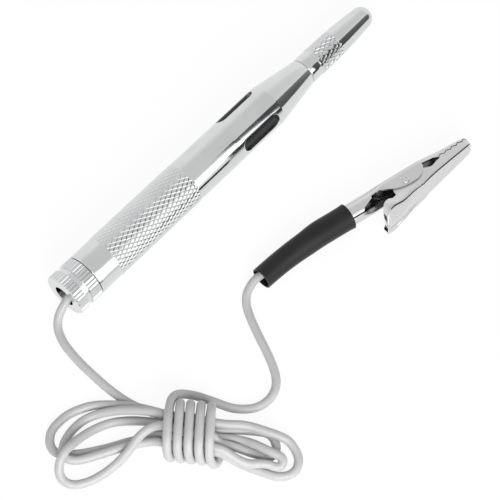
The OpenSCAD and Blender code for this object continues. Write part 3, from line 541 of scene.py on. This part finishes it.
def window_wall(edge, turn):
    """Wall of a slot from the barrel's outside to its bore: a quarter circle, then straight down."""
    rows = [(edge * (1 - math.sin(a)), BODY_R - edge * (1 - math.cos(a)))
            for a in np.linspace(0, math.pi / 2, 6)]
    rows += [(0, BODY_R - edge - 0.25), (0, BORE_R)]
    points = []
    for margin, r in rows:
        x, w = slot_outline(margin)
        points.append(on_pen(WINDOW_MID + x, r, turn + np.arcsin(w / r)))
    return np.concatenate(points), grid_faces(len(rows), len(points[0]))


class TESTLIGHT_OT_barrel(bpy.types.Operator):
    """Barrel with a true diamond knurl, windows with rounded edges, and its bore"""
    bl_idname = "testlight.barrel"
    bl_label = "Barrel"

    def execute(self, context):
        s = context.scene.test_light_pen
        turns = ring_turns(SECTORS * SECTOR_COLUMNS, WINDOW_TURN - 180 / SECTORS)
        depth, edge = s.knurl_depth / MM, s.window_edge / MM
        zone, inner_zone = (63.4, CONE), (64.1, 80.5)
        proud, ends, diamonds = 0.06, 40, 13

        def grip_r(t):
            """Crests stand a little proud, apart from the first and last fortieth of the grip."""
            return BODY_R + proud * (1 - np.clip(ends * np.abs(t - 0.5) - (ends / 2 - 1), 0, 1))

        rear = [(REAR, BORE_R), (REAR, 6.3), (8.31, 6.44), (8.45, BODY_R), (12, BODY_R), (GRIP[0], BODY_R)]
        middle = [(GRIP[1], BODY_R), (GRIP[1] + 0.3, BODY_R), (55, BODY_R), (zone[0], BODY_R)]
        front = [(CONE, BODY_R), (81.35, 6.46), (81.6, 6.42), (88, 5.44), (95.8, 4.24), (95.93, 4.19),
                 (96, 4.1), (96, 3.3), (95.8, 3.3), (87.5, 3.3), (87.5, 4.6), (inner_zone[1], 4.6),
                 (inner_zone[1], BORE_R)]
        inside = [(inner_zone[0], BORE_R), (46, BORE_R), (REAR, BORE_R)]
        parts = [turned(rear, turns), knurl(*GRIP, grip_r, depth, diamonds * DIAMOND, turns),
                 turned(middle, turns), turned(front, turns), turned(inside, turns)]
        for k in range(SECTORS):
            turn = math.radians(WINDOW_TURN) + 2 * math.pi * k / SECTORS
            parts += [window_sheet(*zone, BODY_R, edge, turn, 8), window_wall(edge, turn),
                      window_sheet(*inner_zone, BORE_R, 0, turn, 4)]
        barrel = new_object("barrel_shell", parts, chrome(s))
        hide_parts("barrel")
        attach(barrel, "pen")
        return {"FINISHED"}


class TESTLIGHT_OT_probe_cap(bpy.types.Operator):
    """Cap over the needle, with its knurled band, fine groove, slow taper and round tip"""
    bl_idname = "testlight.probe_cap"
    bl_label = "Probe cap"

    def execute(self, context):
        s = context.scene.test_light_pen
        diamonds, rows = 21, 42
        turns = ring_turns(diamonds * DIAMOND, 0)
        band, mouth, hole = (100.75, 109.2), 102.5, 1.8
        taper = np.linspace(0, 1, 24)[1:]
        tip = np.radians(np.linspace(0, 88, 16))[1:]
        rear = [(mouth, 2.5), (96.1, 2.5), (96.1, 4.1), (96.17, 4.18), (96.35, 4.23), (99.6, 4.25),
                (99.72, 4.23), (99.86, 4.08), (99.94, 4.08), (100.08, 4.23), (100.2, 4.25), (100.5, 4.25),
                (band[0], 4.25)]
        front = [(band[1], 4.15), *zip(band[1] + 12 * taper, 4.15 - 0.8 * taper ** 1.6),
                 *zip(121.2 + 3.3 * np.sin(tip), 3.35 * np.cos(tip)), (124.5, 0.002)]
        inside = [(121.3, 0.002), (121.3, hole), (mouth, hole), (mouth, 2.5)]
        parts = [turned(rear, turns),
                 knurl(*band, lambda t: 4.27 - 0.1 * t, s.cap_knurl_depth / MM, rows, turns),
                 turned(front, turns), turned(inside, turns)]
        cap = new_object("probe_cap_shell", parts, chrome(s))
        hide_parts("probe_cap")
        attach(cap, "cap")
        return {"FINISHED"}


# Clip

def half_section(stations, u, low, side):
    """Half of the fold at each place u, from the middle of its back outwards: along the back, round
    a quarter circle of radius bend, and down the wall to height low. Points lie at even shares
    of each stretch, and those past the open edge move back onto it. A crown lifts the back by a
    parabola across it, and a lean brings the wall in by a half cosine wave from the bend down
    to the height EAR. Gives heights, half widths and how far a lip moves each point outwards:
    by nothing up to the share LIP_START of the half width, and by all of it a share LIP_RISE
    further out, with a half cosine wave between. A side of -1 turns the back downwards."""
    s = np.array(stations, float)[::-1]
    r, y, bend, crown, lip, lean = (settle(s[:, 0], s[:, k], u)[:, None] for k in range(1, 7))
    bend = np.minimum(bend, r)
    flat, arc = r - bend, bend * math.pi / 2
    low = (np.asarray(low, float) * side)[:, None]
    short = np.arccos(np.clip((low - y + bend) / np.maximum(bend, 1e-6), -1, 1))
    end = np.where(low > y - bend, flat + bend * short, flat + arc + y - bend - low)
    part = np.linspace(0, 1, 9)
    way = np.hstack([flat * np.linspace(0, 1, 25)[:-1], flat + arc * part[:-1],
                     flat + arc + (end - flat - arc) * part])
    way = np.minimum(way, end)
    turn = np.clip((way - flat) / np.maximum(bend, 1e-6), 0, math.pi / 2)
    down = np.clip(way - flat - arc, 0, None)
    crown = crown * (1 - np.clip(way / (flat + arc), 0, 1) ** 2)
    lip = lip * half_wave((way / r - LIP_START) / LIP_RISE)
    lean = lean * half_wave(down / np.maximum(y - bend - EAR, 0.1))
    widths = np.minimum(way, flat) + bend * np.sin(turn) - lean
    return (y - bend + bend * np.cos(turn) - down + crown) * side, widths, lip * side


def half_wave(t):
    """From 0 to 1 in half a cosine wave as t goes from 0 to 1, and level outside that."""
    return (1 - np.cos(math.pi * np.clip(t, 0, 1))) / 2


def both_halves(half):
    """A half section mirrored to the other side of the fold, where the lip stands out."""
    heights, widths, lip = half
    return np.hstack([(heights + lip)[:, :0:-1], heights]), np.hstack([-widths[:, :0:-1], widths])


def jaw_sheets(stations, u, low, side):
    """Outer and inner face of a folded jaw, one sheet apart, as grids of (place, height, half
    width). The first row closes the tip: it is the next one narrowed to nothing. A station
    has its place, half width, height of the back and bend, then crown, lip and lean if any.
    Near the tip the inner face steps back, by a whole sheet at the tip itself."""
    s = np.array([(*row, 0, 0, 0)[:7] for row in stations], float)
    least_r, least_bend, nose = 0.3, 0.12, 1.2
    inner = s - (0, SHEET, SHEET, SHEET, 0, 0, 0)
    inner[:, 1] = np.maximum(inner[:, 1], least_r)
    inner[:, 3] = np.maximum(inner[:, 3], least_bend)
    back = SHEET * np.clip((u - s[:, 0].max() + nose) / nose, 0, 1)
    grids = []
    for shape, place in ((s, u), (inner, u - back)):
        heights, widths = both_halves(half_section(shape, u, low, side))
        place = np.broadcast_to(place[:, None], heights.shape)
        grid = np.stack([place, heights, widths], -1)
        grids.append(np.concatenate([grid[:1] * (1, 1, 0), grid]))
    return grids


def sheet_solid(name, sheets, bright=-100.0):
    """Closed solid from pairs of outer and inner grids of (place, height, half width): points that
    coincide on the outside become one, and every open edge is joined to the inside by a strip.
    Inner faces in front of the place bright get the second material, a darker nickel that paints the shade
    inside the fold."""
    outer = np.concatenate([a.reshape(-1, 3) for a, b in sheets])
    inner = np.concatenate([b.reshape(-1, 3) for a, b in sheets])
    faces, first = [], 0
    for a, b in sheets:
        faces.append(grid_faces(a.shape[0], a.shape[1], False, first))
        first += a.shape[0] * a.shape[1]
    _, keep, where = np.unique(np.round(outer, 3), axis=0, return_index=True, return_inverse=True)
    faces = where.reshape(-1)[np.concatenate(faces)]
    outer, inner = outer[keep], inner[keep]
    slim = [tuple(dict.fromkeys(f)) for f in faces.tolist()]
    slim = [f for f in slim if len(f) > 2]
    edges = {(p, q) for f in slim for p, q in zip(f, f[1:] + f[:1])}
    n = len(outer)
    rim = [(q, p, p + n, q + n) for f in slim for p, q in zip(f, f[1:] + f[:1]) if (q, p) not in edges]
    inside = [tuple(i + n for i in reversed(f)) for f in slim]
    points = np.concatenate([on_clip(*outer.T), on_clip(*inner.T)])
    obj = new_object(name, [(points, slim + inside + rim)], None, merge=0, unit=1)
    # Painted shade: inner faces in front of the place bright take the darker nickel
    painted_shade_mask = np.zeros(len(obj.data.polygons), np.int32)
    painted_shade_mask[len(slim):len(slim) + len(inside)] = [outer[f[0], 0] > bright for f in slim]
    obj.data.polygons.foreach_set("material_index", painted_shade_mask)
    return obj


def rows_between(outline, stations, extra=(), step=0.6, least=0.02):
    """Places along a jaw, from its tip: every corner of its outline and every station, and no
    more than a step apart, but not less than the least. Gives them with the outline's heights."""
    edge = np.array(outline, float)
    s = np.array([row[0] for row in stations], float)
    u = np.concatenate([edge[:, 0], s, np.arange(s.min(), s.max(), step), extra])
    u = np.unique(np.round(u[(u >= s.min()) & (u <= s.max())], 3))
    u = u[np.r_[True, np.diff(u) > least]]
    order = np.argsort(edge[:, 0], kind="stable")
    return u[::-1], np.interp(u, edge[order, 0], edge[order, 1])[::-1]


def tooth_line(u):
    """Height where the closed jaws meet, which falls slowly towards the throat."""
    return 2.8 - 0.093 * (TOOTH_U - u)


def teeth(gap):
    """Stepped edge of a jaw, from the tip to the throat: each tooth falls from its point by the
    depth DEPTH over the share FALL of the pitch, and rises to the next one's point after it."""
    top = tooth_line(TOOTH_U)
    edge = [(JAW + 1, top - 0.9 - gap), (JAW - 0.3, top - 0.7 - gap)]
    for i in range(TEETH):
        u = TOOTH_U - PITCH * i
        edge += [(u, tooth_line(u) - gap), (u - FALL * PITCH, tooth_line(u) - DEPTH - gap)]
    return edge


def soften(obj, width):
    """Rounds the sheet's edges by a width in mm, then brings the finished solid to its real size."""
    step = obj.modifiers.new("Edges", "BEVEL")
    step.width = width
    step.segments = 2
    step.limit_method = "ANGLE"
    step.angle_limit = math.radians(50)
    evaluated(obj)
    obj.data.transform(Matrix.Scale(MM, 4))


class TESTLIGHT_OT_clip(bpy.types.Operator):
    """Both folded jaws of the crocodile clip, its rolled barrel and its rivet"""
    bl_idname = "testlight.clip"
    bl_label = "Crocodile clip"

    def execute(self, context):
        s = context.scene.test_light_clip
        nickel = metal("Nickel", s.plating, s.gloss, (1.0, 1.0, 0.25), 500.0, 0.000004, 0.5)
        # Darker copy of the nickel, three tenths as bright: painted shade on the inner faces of the jaws and
        # the barrel
        painted_shade_nickel = metal("Nickel, painted shade inside", shade(s.plating, 0.3), 0.4, mark_scale=500.0, mark_depth=0.00001)
        for obj, node, body in ((self.upper_jaw(), "clip_upper_jaw", "pen"),
                                (self.lower_jaw(), "clip_lower_jaw", "jaw")):
            soften(obj, s.edge / MM)
            finish_mesh(obj, nickel, 32)
            obj.data.materials.append(painted_shade_nickel)
            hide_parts(node)
            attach(obj, body)
        rivet = self.rivet(nickel)
        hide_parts("clip_rivet")
        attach(rivet, "pen")
        return {"FINISHED"}

    def upper_jaw(self):
        """Folded jaw with ears, which closes smoothly to the round barrel behind them. The barrel's
        upper half goes on from the fold. Its lower half is two grids that turn on from a
        quarter circle: one flank to the slit, or to the cut below the lever, and the other
        round the bottom to the slit's far side, with a trough in front of the neck."""
        t = np.linspace(1, 0, 9)
        e = t * t * (3 - 2 * t)
        top = BARREL_Y + BARREL_R
        neck = np.stack([NECK + 5 * t, BARREL_R + 1.3 * e, top - 1.3 * e, BARREL_R - 1.55 * e], -1)
        stations = [
            (23.2, 1.6, 2.55, 0.6), (22.8, 2.2, 3.05, 0.9), (22, 2.6, 3.4, 1.1), (12.4, 3.45, 3.7, 1.4),
            (6, 4.45, 3.85, 1.6), *neck.tolist(), (TAIL, BARREL_R, top, BARREL_R)]
        ear = through([(6.9, 1.9), (6.4, 0.4), (3.8, -1.4), (-0.6, -1.5), (-4.3, -0.4), (-7.8, 1.8)], 6)
        edge = teeth(0)
        outline = edge + [(edge[-1][0] - 1.5, 1.9)] + ear.tolist() + [(-9, BARREL_Y), (TAIL, BARREL_Y)]
        cut, trough, slit = NECK - 3.6, -7.5, 213.0
        u, low = rows_between(outline, stations, (cut, cut - 0.02, NECK + 0.35, trough))
        sheets = [jaw_sheets(stations, u, low, 1)]
        outer, inner = sheets[0]
        place = outer[:, 0, 0]
        part = np.linspace(0, 1, 13)

        def lower_half(rows, end, side, seam):
            """Rows that turn on from a quarter circle to the angle end, in degrees, on one side.
            With a seam they start in the fold's own edge, and without one only behind the neck."""
            grids = []
            for grid, less in ((outer, 0), (inner, SHEET)):
                start = grid[rows][:, -1 if side > 0 else 0]
                angle = np.radians(90 + (np.asarray(end)[:, None] - 90) * part)
                r = np.full((len(rows), 1), BARREL_R - less)
                if seam:
                    r = np.where(place[rows] > NECK, np.abs(start[:, 2]), BARREL_R - less)[:, None]
                height = BARREL_Y + r * np.cos(angle)
                at = np.broadcast_to(start[:, :1], height.shape)
                fresh = np.stack([at, height, side * r * np.sin(angle)], -1)
                same = np.full(len(rows), True) if seam else place[rows] <= NECK
                fresh[same, 0] = start[same]
                grids.append(fresh if side > 0 else fresh[:, ::-1])
            return tuple(grids)

        # Height of the flank's edge: the slit's near side up to the cut, then higher, below the lever
        flank = np.flatnonzero(place <= NECK + 0.36)
        line = np.interp(place[flank], (cut - 0.01, cut, NECK, NECK + 0.34), (-0.377, 0.05, 1.3, BARREL_Y))
        sheets.append(lower_half(flank, np.degrees(np.arccos((line - BARREL_Y) / BARREL_R)), 1, True))
        bottom = np.flatnonzero(place <= trough + 0.01)
        sheets.append(lower_half(bottom, np.full(len(bottom), slit), -1, False))
        # Painted shade: every inner face of this jaw and its barrel takes the darker nickel
        return sheet_solid("clip_jaw_upper", sheets)

    def lower_jaw(self):
        """Folded jaw that narrows to the tip and widens behind the rivet into the thumb lever, whose
        end keeps the bright nickel inside; painted shade darkens the inner faces in front of it."""
        stations = [
            (23.3, 0.9, -0.75, 0.4), (23.2, 1.5, -0.55, 0.5), (22.95, 2.05, -0.35, 0.6),
            (22.5, 2.4, -0.15, 0.7), (21.8, 2.55, 0.02, 0.75), (14.3, 3.3, 1.5, 0.75),
            (6.5, 3.85, 3.1, 0.75), (4, 3.87, 3.7, 0.6, 0.1, 0.2, 0.02), (0, 4.05, 4.2, 0.5, 0.3, 0.45, 0.2),
            (-2, 4.12, 4.58, 0.5, 0.6, 0.55, 0.28), (-4, 4.35, 4.93, 0.5, 1.05, 0.6, 0.52),
            (-5.2, 4.6, 5.05, 0.5, 1.25, 0.65, 0.78), (-6, 4.85, 5.13, 0.5, 1.35, 0.7, 0.8),
            (-8, 5.35, 5.42, 0.5, 1.35, 0.85, 0.5), (-9, 5.35, 5.75, 0.5, 1.15, 0.75, 0.3),
            (-10, 5, 6.35, 0.6, 0.8, 0.5, 0.2), (-11, 4.1, 7.3, 0.8, 0.4, 0.2, 0.1),
            (-11.6, 3, 8.1, 1, 0.1), (-12, 1.7, 8.8, 1)]
        edge = teeth(0.25)
        throat = edge[-1][0]
        back = through([(throat - 1.4, 0.6), (8.9, -0.1), (6.7, 0.6), (4, 1.4)], 4)
        turn = np.radians(np.arange(60, 136, 7.5))
        collar = 2.3 * np.stack([np.cos(turn), np.sin(turn)], -1)
        lever = through([(-3.4, 0.9), (-4.6, -0.3), (-4.7, -2), (-6.3, -2.75), (-7.5, -2.6), (-8.7, -2.8),
                         (-9.8, -3.4), (-10.9, -4.7), (-11.6, -6.2), (-11.95, -7.2)], 5)
        outline = [*edge, (throat - 0.02, 0.9), *back, *collar, *lever, (-14.2, -7.6)]
        u, low = rows_between(outline, stations)
        return sheet_solid("clip_jaw_lower", [jaw_sheets(stations, u, low, -1)], bright=-9.0)

    def rivet(self, material):
        """Rivet turned from an outline, with a low head at each end, the lower one flat. Three punch
        marks, a third of a turn apart, spread the upper head: each sinks it by a bell curve of
        the distance from it."""
        top, low_top, foot = 4.85, 4.62, 4.5
        reach, depth, spread = 0.62, 0.32, 0.1
        half = np.array([(0.002, top), *((r, top) for r in np.arange(0.1, 0.88, 0.06)), (0.93, 4.84),
                         (1.02, 4.8), (1.08, 4.72), (1.1, 4.6), (1.1, 4.4), (1.0, 4.4), (1.0, 3.0)])
        r = np.concatenate([half[:, 0], half[::-1, 0]])[:, None]
        w = np.concatenate([half[:, 1], -np.minimum(half[::-1, 1], low_top)])[:, None]
        a = ring_turns(ROUND, 0)[None, :]
        u, y = r * np.cos(a), r * np.sin(a)
        dent = np.zeros_like(u)
        for turn in np.radians((20, 140, 260)):
            far = (u - reach * math.cos(turn)) ** 2 + (y - reach * math.sin(turn)) ** 2
            dent += depth * np.exp(-far / spread)
        dent = np.where(w > foot, np.minimum(dent, w - foot), 0)
        return new_object("clip_pin", [(on_clip(u, y, w - dent), grid_faces(len(r), ROUND))], material)


class TESTLIGHT_OT_sleeve(bpy.types.Operator):
    """Rubber sleeve over the lead and the clip's barrel, with a flared mouth"""
    bl_idname = "testlight.sleeve"
    bl_label = "Sleeve"

    def execute(self, context):
        """Tube carried along its middle line: circles square to it, first outside from the lead's
        end to the mouth, then back inside, where the wall is taken off, with rounded rims."""
        s = context.scene.test_light_lead
        rubber = plastic("Rubber", s.sleeve, 0.42, 900.0, 0.00002, 0.12, 0.3)
        wall = 0.45
        route = [(-21.65, -34.3, 3.25), (-18.25, -34.5, 3.3), (-14.25, -34.9, 3.5), (-9.75, -35.6, 3.9),
                 (-5.75, -36.4, 4.3), *on_clip(np.array([TAIL, -22, -19.2, -18.0]), BARREL_Y, 0).tolist()]
        radius = [3.2 + 0.45 * (i / 5) ** 2 for i in range(5)] + [3.65, 3.65, 3.69, 3.82]
        line = through(np.hstack([route, np.array(radius)[:, None]]), 10)
        middle, outer = line[:, :3], line[:, 3]
        along = np.gradient(middle, axis=0)
        along /= np.linalg.norm(along, axis=1)[:, None]
        across = np.cross(along, (0, 0, 1.0))
        across /= np.linalg.norm(across, axis=1)[:, None]
        up = np.cross(across, along)
        n = len(middle)
        rows = np.concatenate([[0], np.arange(n), [n - 1], np.arange(n)[::-1], [0]])
        less = np.concatenate([[0.12, 0.02], np.zeros(n - 2), [0.06, 0.2, 0.42], np.full(n - 2, wall),
                               [0.43, 0.12]])
        a = ring_turns(ROUND, 0)[None, :, None]
        points = middle[rows][:, None] + (outer[rows] - less)[:, None, None] * (
            np.cos(a) * across[rows][:, None] + np.sin(a) * up[rows][:, None])
        sleeve = new_object("sleeve", [(points, grid_faces(len(rows), ROUND))], rubber, 60)
        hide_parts("clip_sleeve")
        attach(sleeve, "pen")
        return {"FINISHED"}


class TESTLIGHT_OT_lead(bpy.types.Operator):
    """Lead from the end cap through its hank to the clip, as one round curve"""
    bl_idname = "testlight.lead"
    bl_label = "Lead"

    def execute(self, context):
        """Curve through every point of LEAD, where it heads from the point before to the point
        after, level where it lies on the floor. Its handles are a third of the way long."""
        s = context.scene.test_light_lead
        p = np.array(LEAD) * MM
        step = np.linalg.norm(np.diff(p, axis=0), axis=1)
        way = np.vstack([p[1] - p[0], p[2:] - p[:-2], p[-1] - p[-2]])
        way[p[:, 2] < ON_FLOOR * MM, 2] = 0
        way /= np.linalg.norm(way, axis=1)[:, None]
        curve = bpy.data.curves.new("lead", "CURVE")
        curve.dimensions = "3D"
        curve.bevel_depth = s.diameter / 2
        curve.bevel_resolution = 8
        curve.resolution_u = 8
        curve.use_fill_caps = True
        line = curve.splines.new("BEZIER")
        line.bezier_points.add(len(p) - 1)
        before = p - way * np.r_[step[0], step][:, None] / 3
        after = p + way * np.r_[step, step[-1]][:, None] / 3
        for name, values in (("co", p), ("handle_left", before), ("handle_right", after)):
            line.bezier_points.foreach_set(name, values.ravel())
        lead = bpy.data.objects.new("lead", curve)
        context.scene.collection.objects.link(lead)
        curve.materials.append(plastic("Lead insulation", s.colour, 0.38, 1400.0, 0.000006, 0.02))
        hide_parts("rear_lead", "lead_hank", "front_lead")
        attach(lead, "pen")
        return {"FINISHED"}


class TESTLIGHT_OT_kept(bpy.types.Operator):
    """Materials of the parts that keep their CAD shapes: end cap, lamp, contacts and inner leads"""
    bl_idname = "testlight.kept"
    bl_label = "Kept parts"

    def execute(self, context):
        pen = context.scene.test_light_pen
        looks = {
            "chrome_body": chrome(pen),
            "steel": metal("Steel", (0.6, 0.6, 0.61), 0.3, (1.0, 0.1, 0.1)),
            "brass": metal("Brass", (0.78, 0.6, 0.3), 0.25, (2.0, 0.15, 0.15)),
            "copper": metal("Copper", (0.72, 0.4, 0.26), 0.35, (0.2, 1.0, 1.0), 1600.0, 0.00004),
            "solder": metal("Solder", (0.62, 0.63, 0.65), 0.4, (1.0, 1.0, 1.0), 600.0, 0.00006),
            "filament": metal("Filament", (0.3, 0.3, 0.31), 0.5),
            "bulb_glass": glass("Lamp glass", (0.97, 0.98, 0.99), 0.01),
            "window": plastic("Smoked tube", pen.window, 0.12, 400.0, 0.000004, 0.3, 0.3),
            "insulator": plastic("Insulator", (0.78, 0.76, 0.7), 0.6, 1200.0, 0.00002),
        }
        for part in frame["record"]["subparts"]:
            look = looks.get(part["material_slot"])
            if look:
                materials = frame["nodes"][part["node"]].data.materials
                materials.clear()
                materials.append(look)
        return {"FINISHED"}


# Stage

class TESTLIGHT_OT_stage(bpy.types.Operator):
    """White floor, cards that the metal mirrors, light from all round, key light and the camera"""
    bl_idname = "testlight.stage"
    bl_label = "Stage"

    def execute(self, context):
        s = context.scene.test_light_stage
        half = s.floor / 2
        corners = np.array([(-half, -half, 0), (half, -half, 0), (half, half, 0), (-half, half, 0)])
        floor = new_object("floor", [(corners, [[0, 1, 2, 3]])], self.floor_material(), merge=0, unit=1)
        long_card = [(-0.35, 0.0), (0.055, 0.012), (0.15, 0.095), (0.15, 0.265), (-0.35, 0.42)]
        dark_card = [(0.15, 0.02), (0.75, 0.02), (0.75, 0.42), (0.19, 0.42), (0.158, 0.27)]
        low_card = [(0.035, 0.004), (0.09, 0.004), (0.09, 0.038), (0.035, 0.038)]
        self.card("soft_box", -0.3, long_card, s.soft_box, 1.0)
        self.card("dark_card", -0.3, dark_card, s.flag, 6.0)
        self.card("low_card", -0.1, low_card, s.flag, 1.0)
        self.world(context, s.sky)
        self.key_light(context, s.key)
        self.camera(context)
        context.scene.view_settings.view_transform = "Standard"
        return {"FINISHED"}

    def card(self, name, y, corners, strength, rise):
        """Upright card at the place y that only mirroring surfaces see. Its brightness grows evenly
        from strength at its rear end to rise times that at its front end."""
        points = np.array([(x, y, z) for x, z in corners])
        n = Nodes.finish(name)
        glow, split = n.add("ShaderNodeEmission"), n.add("ShaderNodeSeparateXYZ")
        n.join(n.place, split.inputs[0])
        ends = points[:, 0].min(), points[:, 0].max()
        n.join(n.spread(split.outputs["X"], strength, strength * rise, *ends), glow.inputs["Strength"])
        n.join(glow.outputs[0], n.out.inputs["Surface"])
        card = new_object(name, [(points, [list(range(len(points)))])], n.material, merge=0, unit=1)
        card.visible_camera = card.visible_diffuse = card.visible_transmission = card.visible_shadow = False

    def seen(self, n):
        """1 for rays from the camera, from a mirroring surface or through glass, else 0."""
        path = n.add("ShaderNodeLightPath")
        seen = path.outputs["Is Camera Ray"]
        for ray in ("Is Glossy Ray", "Is Transmission Ray"):
            most = n.add("ShaderNodeMath", operation="MAXIMUM")
            n.join(seen, most.inputs[0])
            n.join(path.outputs[ray], most.inputs[1])
            seen = most.outputs[0]
        return seen

    def floor_material(self):
        """White that keeps a faint shadow: most of it its own light, the rest a white surface."""
        n = Nodes.finish("Floor")
        glow = n.add("ShaderNodeEmission")
        glow.inputs["Strength"].default_value = 1.03
        mix = n.add("ShaderNodeMixShader")
        n.join(n.spread(self.seen(n), 0, 0.88, 0, 1), mix.inputs["Fac"])
        n.join(n.shader.outputs[0], mix.inputs[1])
        n.join(glow.outputs[0], mix.inputs[2])
        n.join(mix.outputs[0], n.out.inputs["Surface"])
        n.set(base_color=(0.98, 0.98, 0.98, 1), roughness=0.9, specular_ior_level=0.0)
        return n.material

    def world(self, context, strength):
        """White where it is seen, mirrored or looked at through glass, a little greyer overhead; less
        as light."""
        world = bpy.data.worlds.new("Sky")
        context.scene.world = world
        world.use_nodes = True
        n = Nodes(world.node_tree)
        sky, white = n.add("ShaderNodeBackground"), n.add("ShaderNodeBackground")
        sky.inputs["Color"].default_value = (1, 1, 1, 1)
        sky.inputs["Strength"].default_value = strength
        split = n.add("ShaderNodeSeparateXYZ")
        n.join(n.add("ShaderNodeTexCoord").outputs["Generated"], split.inputs[0])
        n.join(n.blend(split.outputs["Z"], (1, 1, 1), (0.78, 0.78, 0.78), 0.5, 0.82), white.inputs["Color"])
        mix, out = n.add("ShaderNodeMixShader"), n.add("ShaderNodeOutputWorld")
        n.join(self.seen(n), mix.inputs["Fac"])
        n.join(sky.outputs[0], mix.inputs[1])
        n.join(white.outputs[0], mix.inputs[2])
        n.join(mix.outputs[0], out.inputs["Surface"])

    def key_light(self, context, power):
        """Soft square light from the camera's side that faces the pen."""
        data = bpy.data.lights.new("key", "AREA")
        data.energy, data.size = power, 0.3
        key = bpy.data.objects.new("key", data)
        context.scene.collection.objects.link(key)
        key.visible_camera = False
        key.location = (-0.26, -0.36, 0.26)
        way = Vector((-0.05, -0.06, 0)) - key.location
        key.rotation_euler = way.to_track_quat("-Z", "Y").to_euler()

    def camera(self, context):
        """Camera at azimuth -47.6 and elevation 62.7 degrees, 495 mm from its target on the floor."""
        target, far = Vector((-0.016, -0.025, 0)), 0.495
        a, e = math.radians(-47.60), math.radians(62.69)
        back = Vector((math.sin(a) * math.cos(e), -math.cos(a) * math.cos(e), math.sin(e)))
        right = Vector((math.cos(a), math.sin(a), 0))
        camera = bpy.data.objects.new("camera", bpy.data.cameras.new("camera"))
        context.scene.collection.objects.link(camera)
        turn = Matrix((right, back.cross(right), back)).transposed().to_4x4()
        camera.matrix_world = Matrix.Translation(target + far * back) @ turn
        camera.data.sensor_width = 36
        camera.data.lens = 129.67
        camera.data.clip_start = 0.01
        camera.data.clip_end = 20
        context.scene.camera = camera


class TESTLIGHT_PT_panel(bpy.types.Panel):
    """Lists the settings and the steps that build the test light"""
    bl_label = "Test light"
    bl_idname = "TESTLIGHT_PT_panel"
    bl_space_type = "VIEW_3D"
    bl_region_type = "UI"
    bl_category = "Test light"

    def draw(self, context):
        for key, group in SETTINGS.items():
            box = self.layout.box()
            for name in group.__annotations__:
                box.prop(getattr(context.scene, key), name)
        for step in STEPS:
            self.layout.operator(step.bl_idname)


SETTINGS = {"test_light_pen": PenSettings, "test_light_lead": LeadSettings,
            "test_light_clip": ClipSettings, "test_light_stage": StageSettings}
STEPS = (TESTLIGHT_OT_barrel, TESTLIGHT_OT_probe_cap, TESTLIGHT_OT_kept, TESTLIGHT_OT_sleeve,
         TESTLIGHT_OT_clip, TESTLIGHT_OT_lead, TESTLIGHT_OT_stage)


def register():
    for kind in (*SETTINGS.values(), *STEPS, TESTLIGHT_PT_panel):
        bpy.utils.register_class(kind)
    for key, group in SETTINGS.items():
        setattr(bpy.types.Scene, key, PointerProperty(type=group))


def unregister():
    for key in SETTINGS:
        delattr(bpy.types.Scene, key)
    for kind in reversed((*SETTINGS.values(), *STEPS, TESTLIGHT_PT_panel)):
        bpy.utils.unregister_class(kind)


def main():
    """Builds every piece and the stage in order."""
    register()
    for step in STEPS:
        group, name = step.bl_idname.split(".")
        getattr(getattr(bpy.ops, group), name)()


if __name__ == "__main__":
    main()
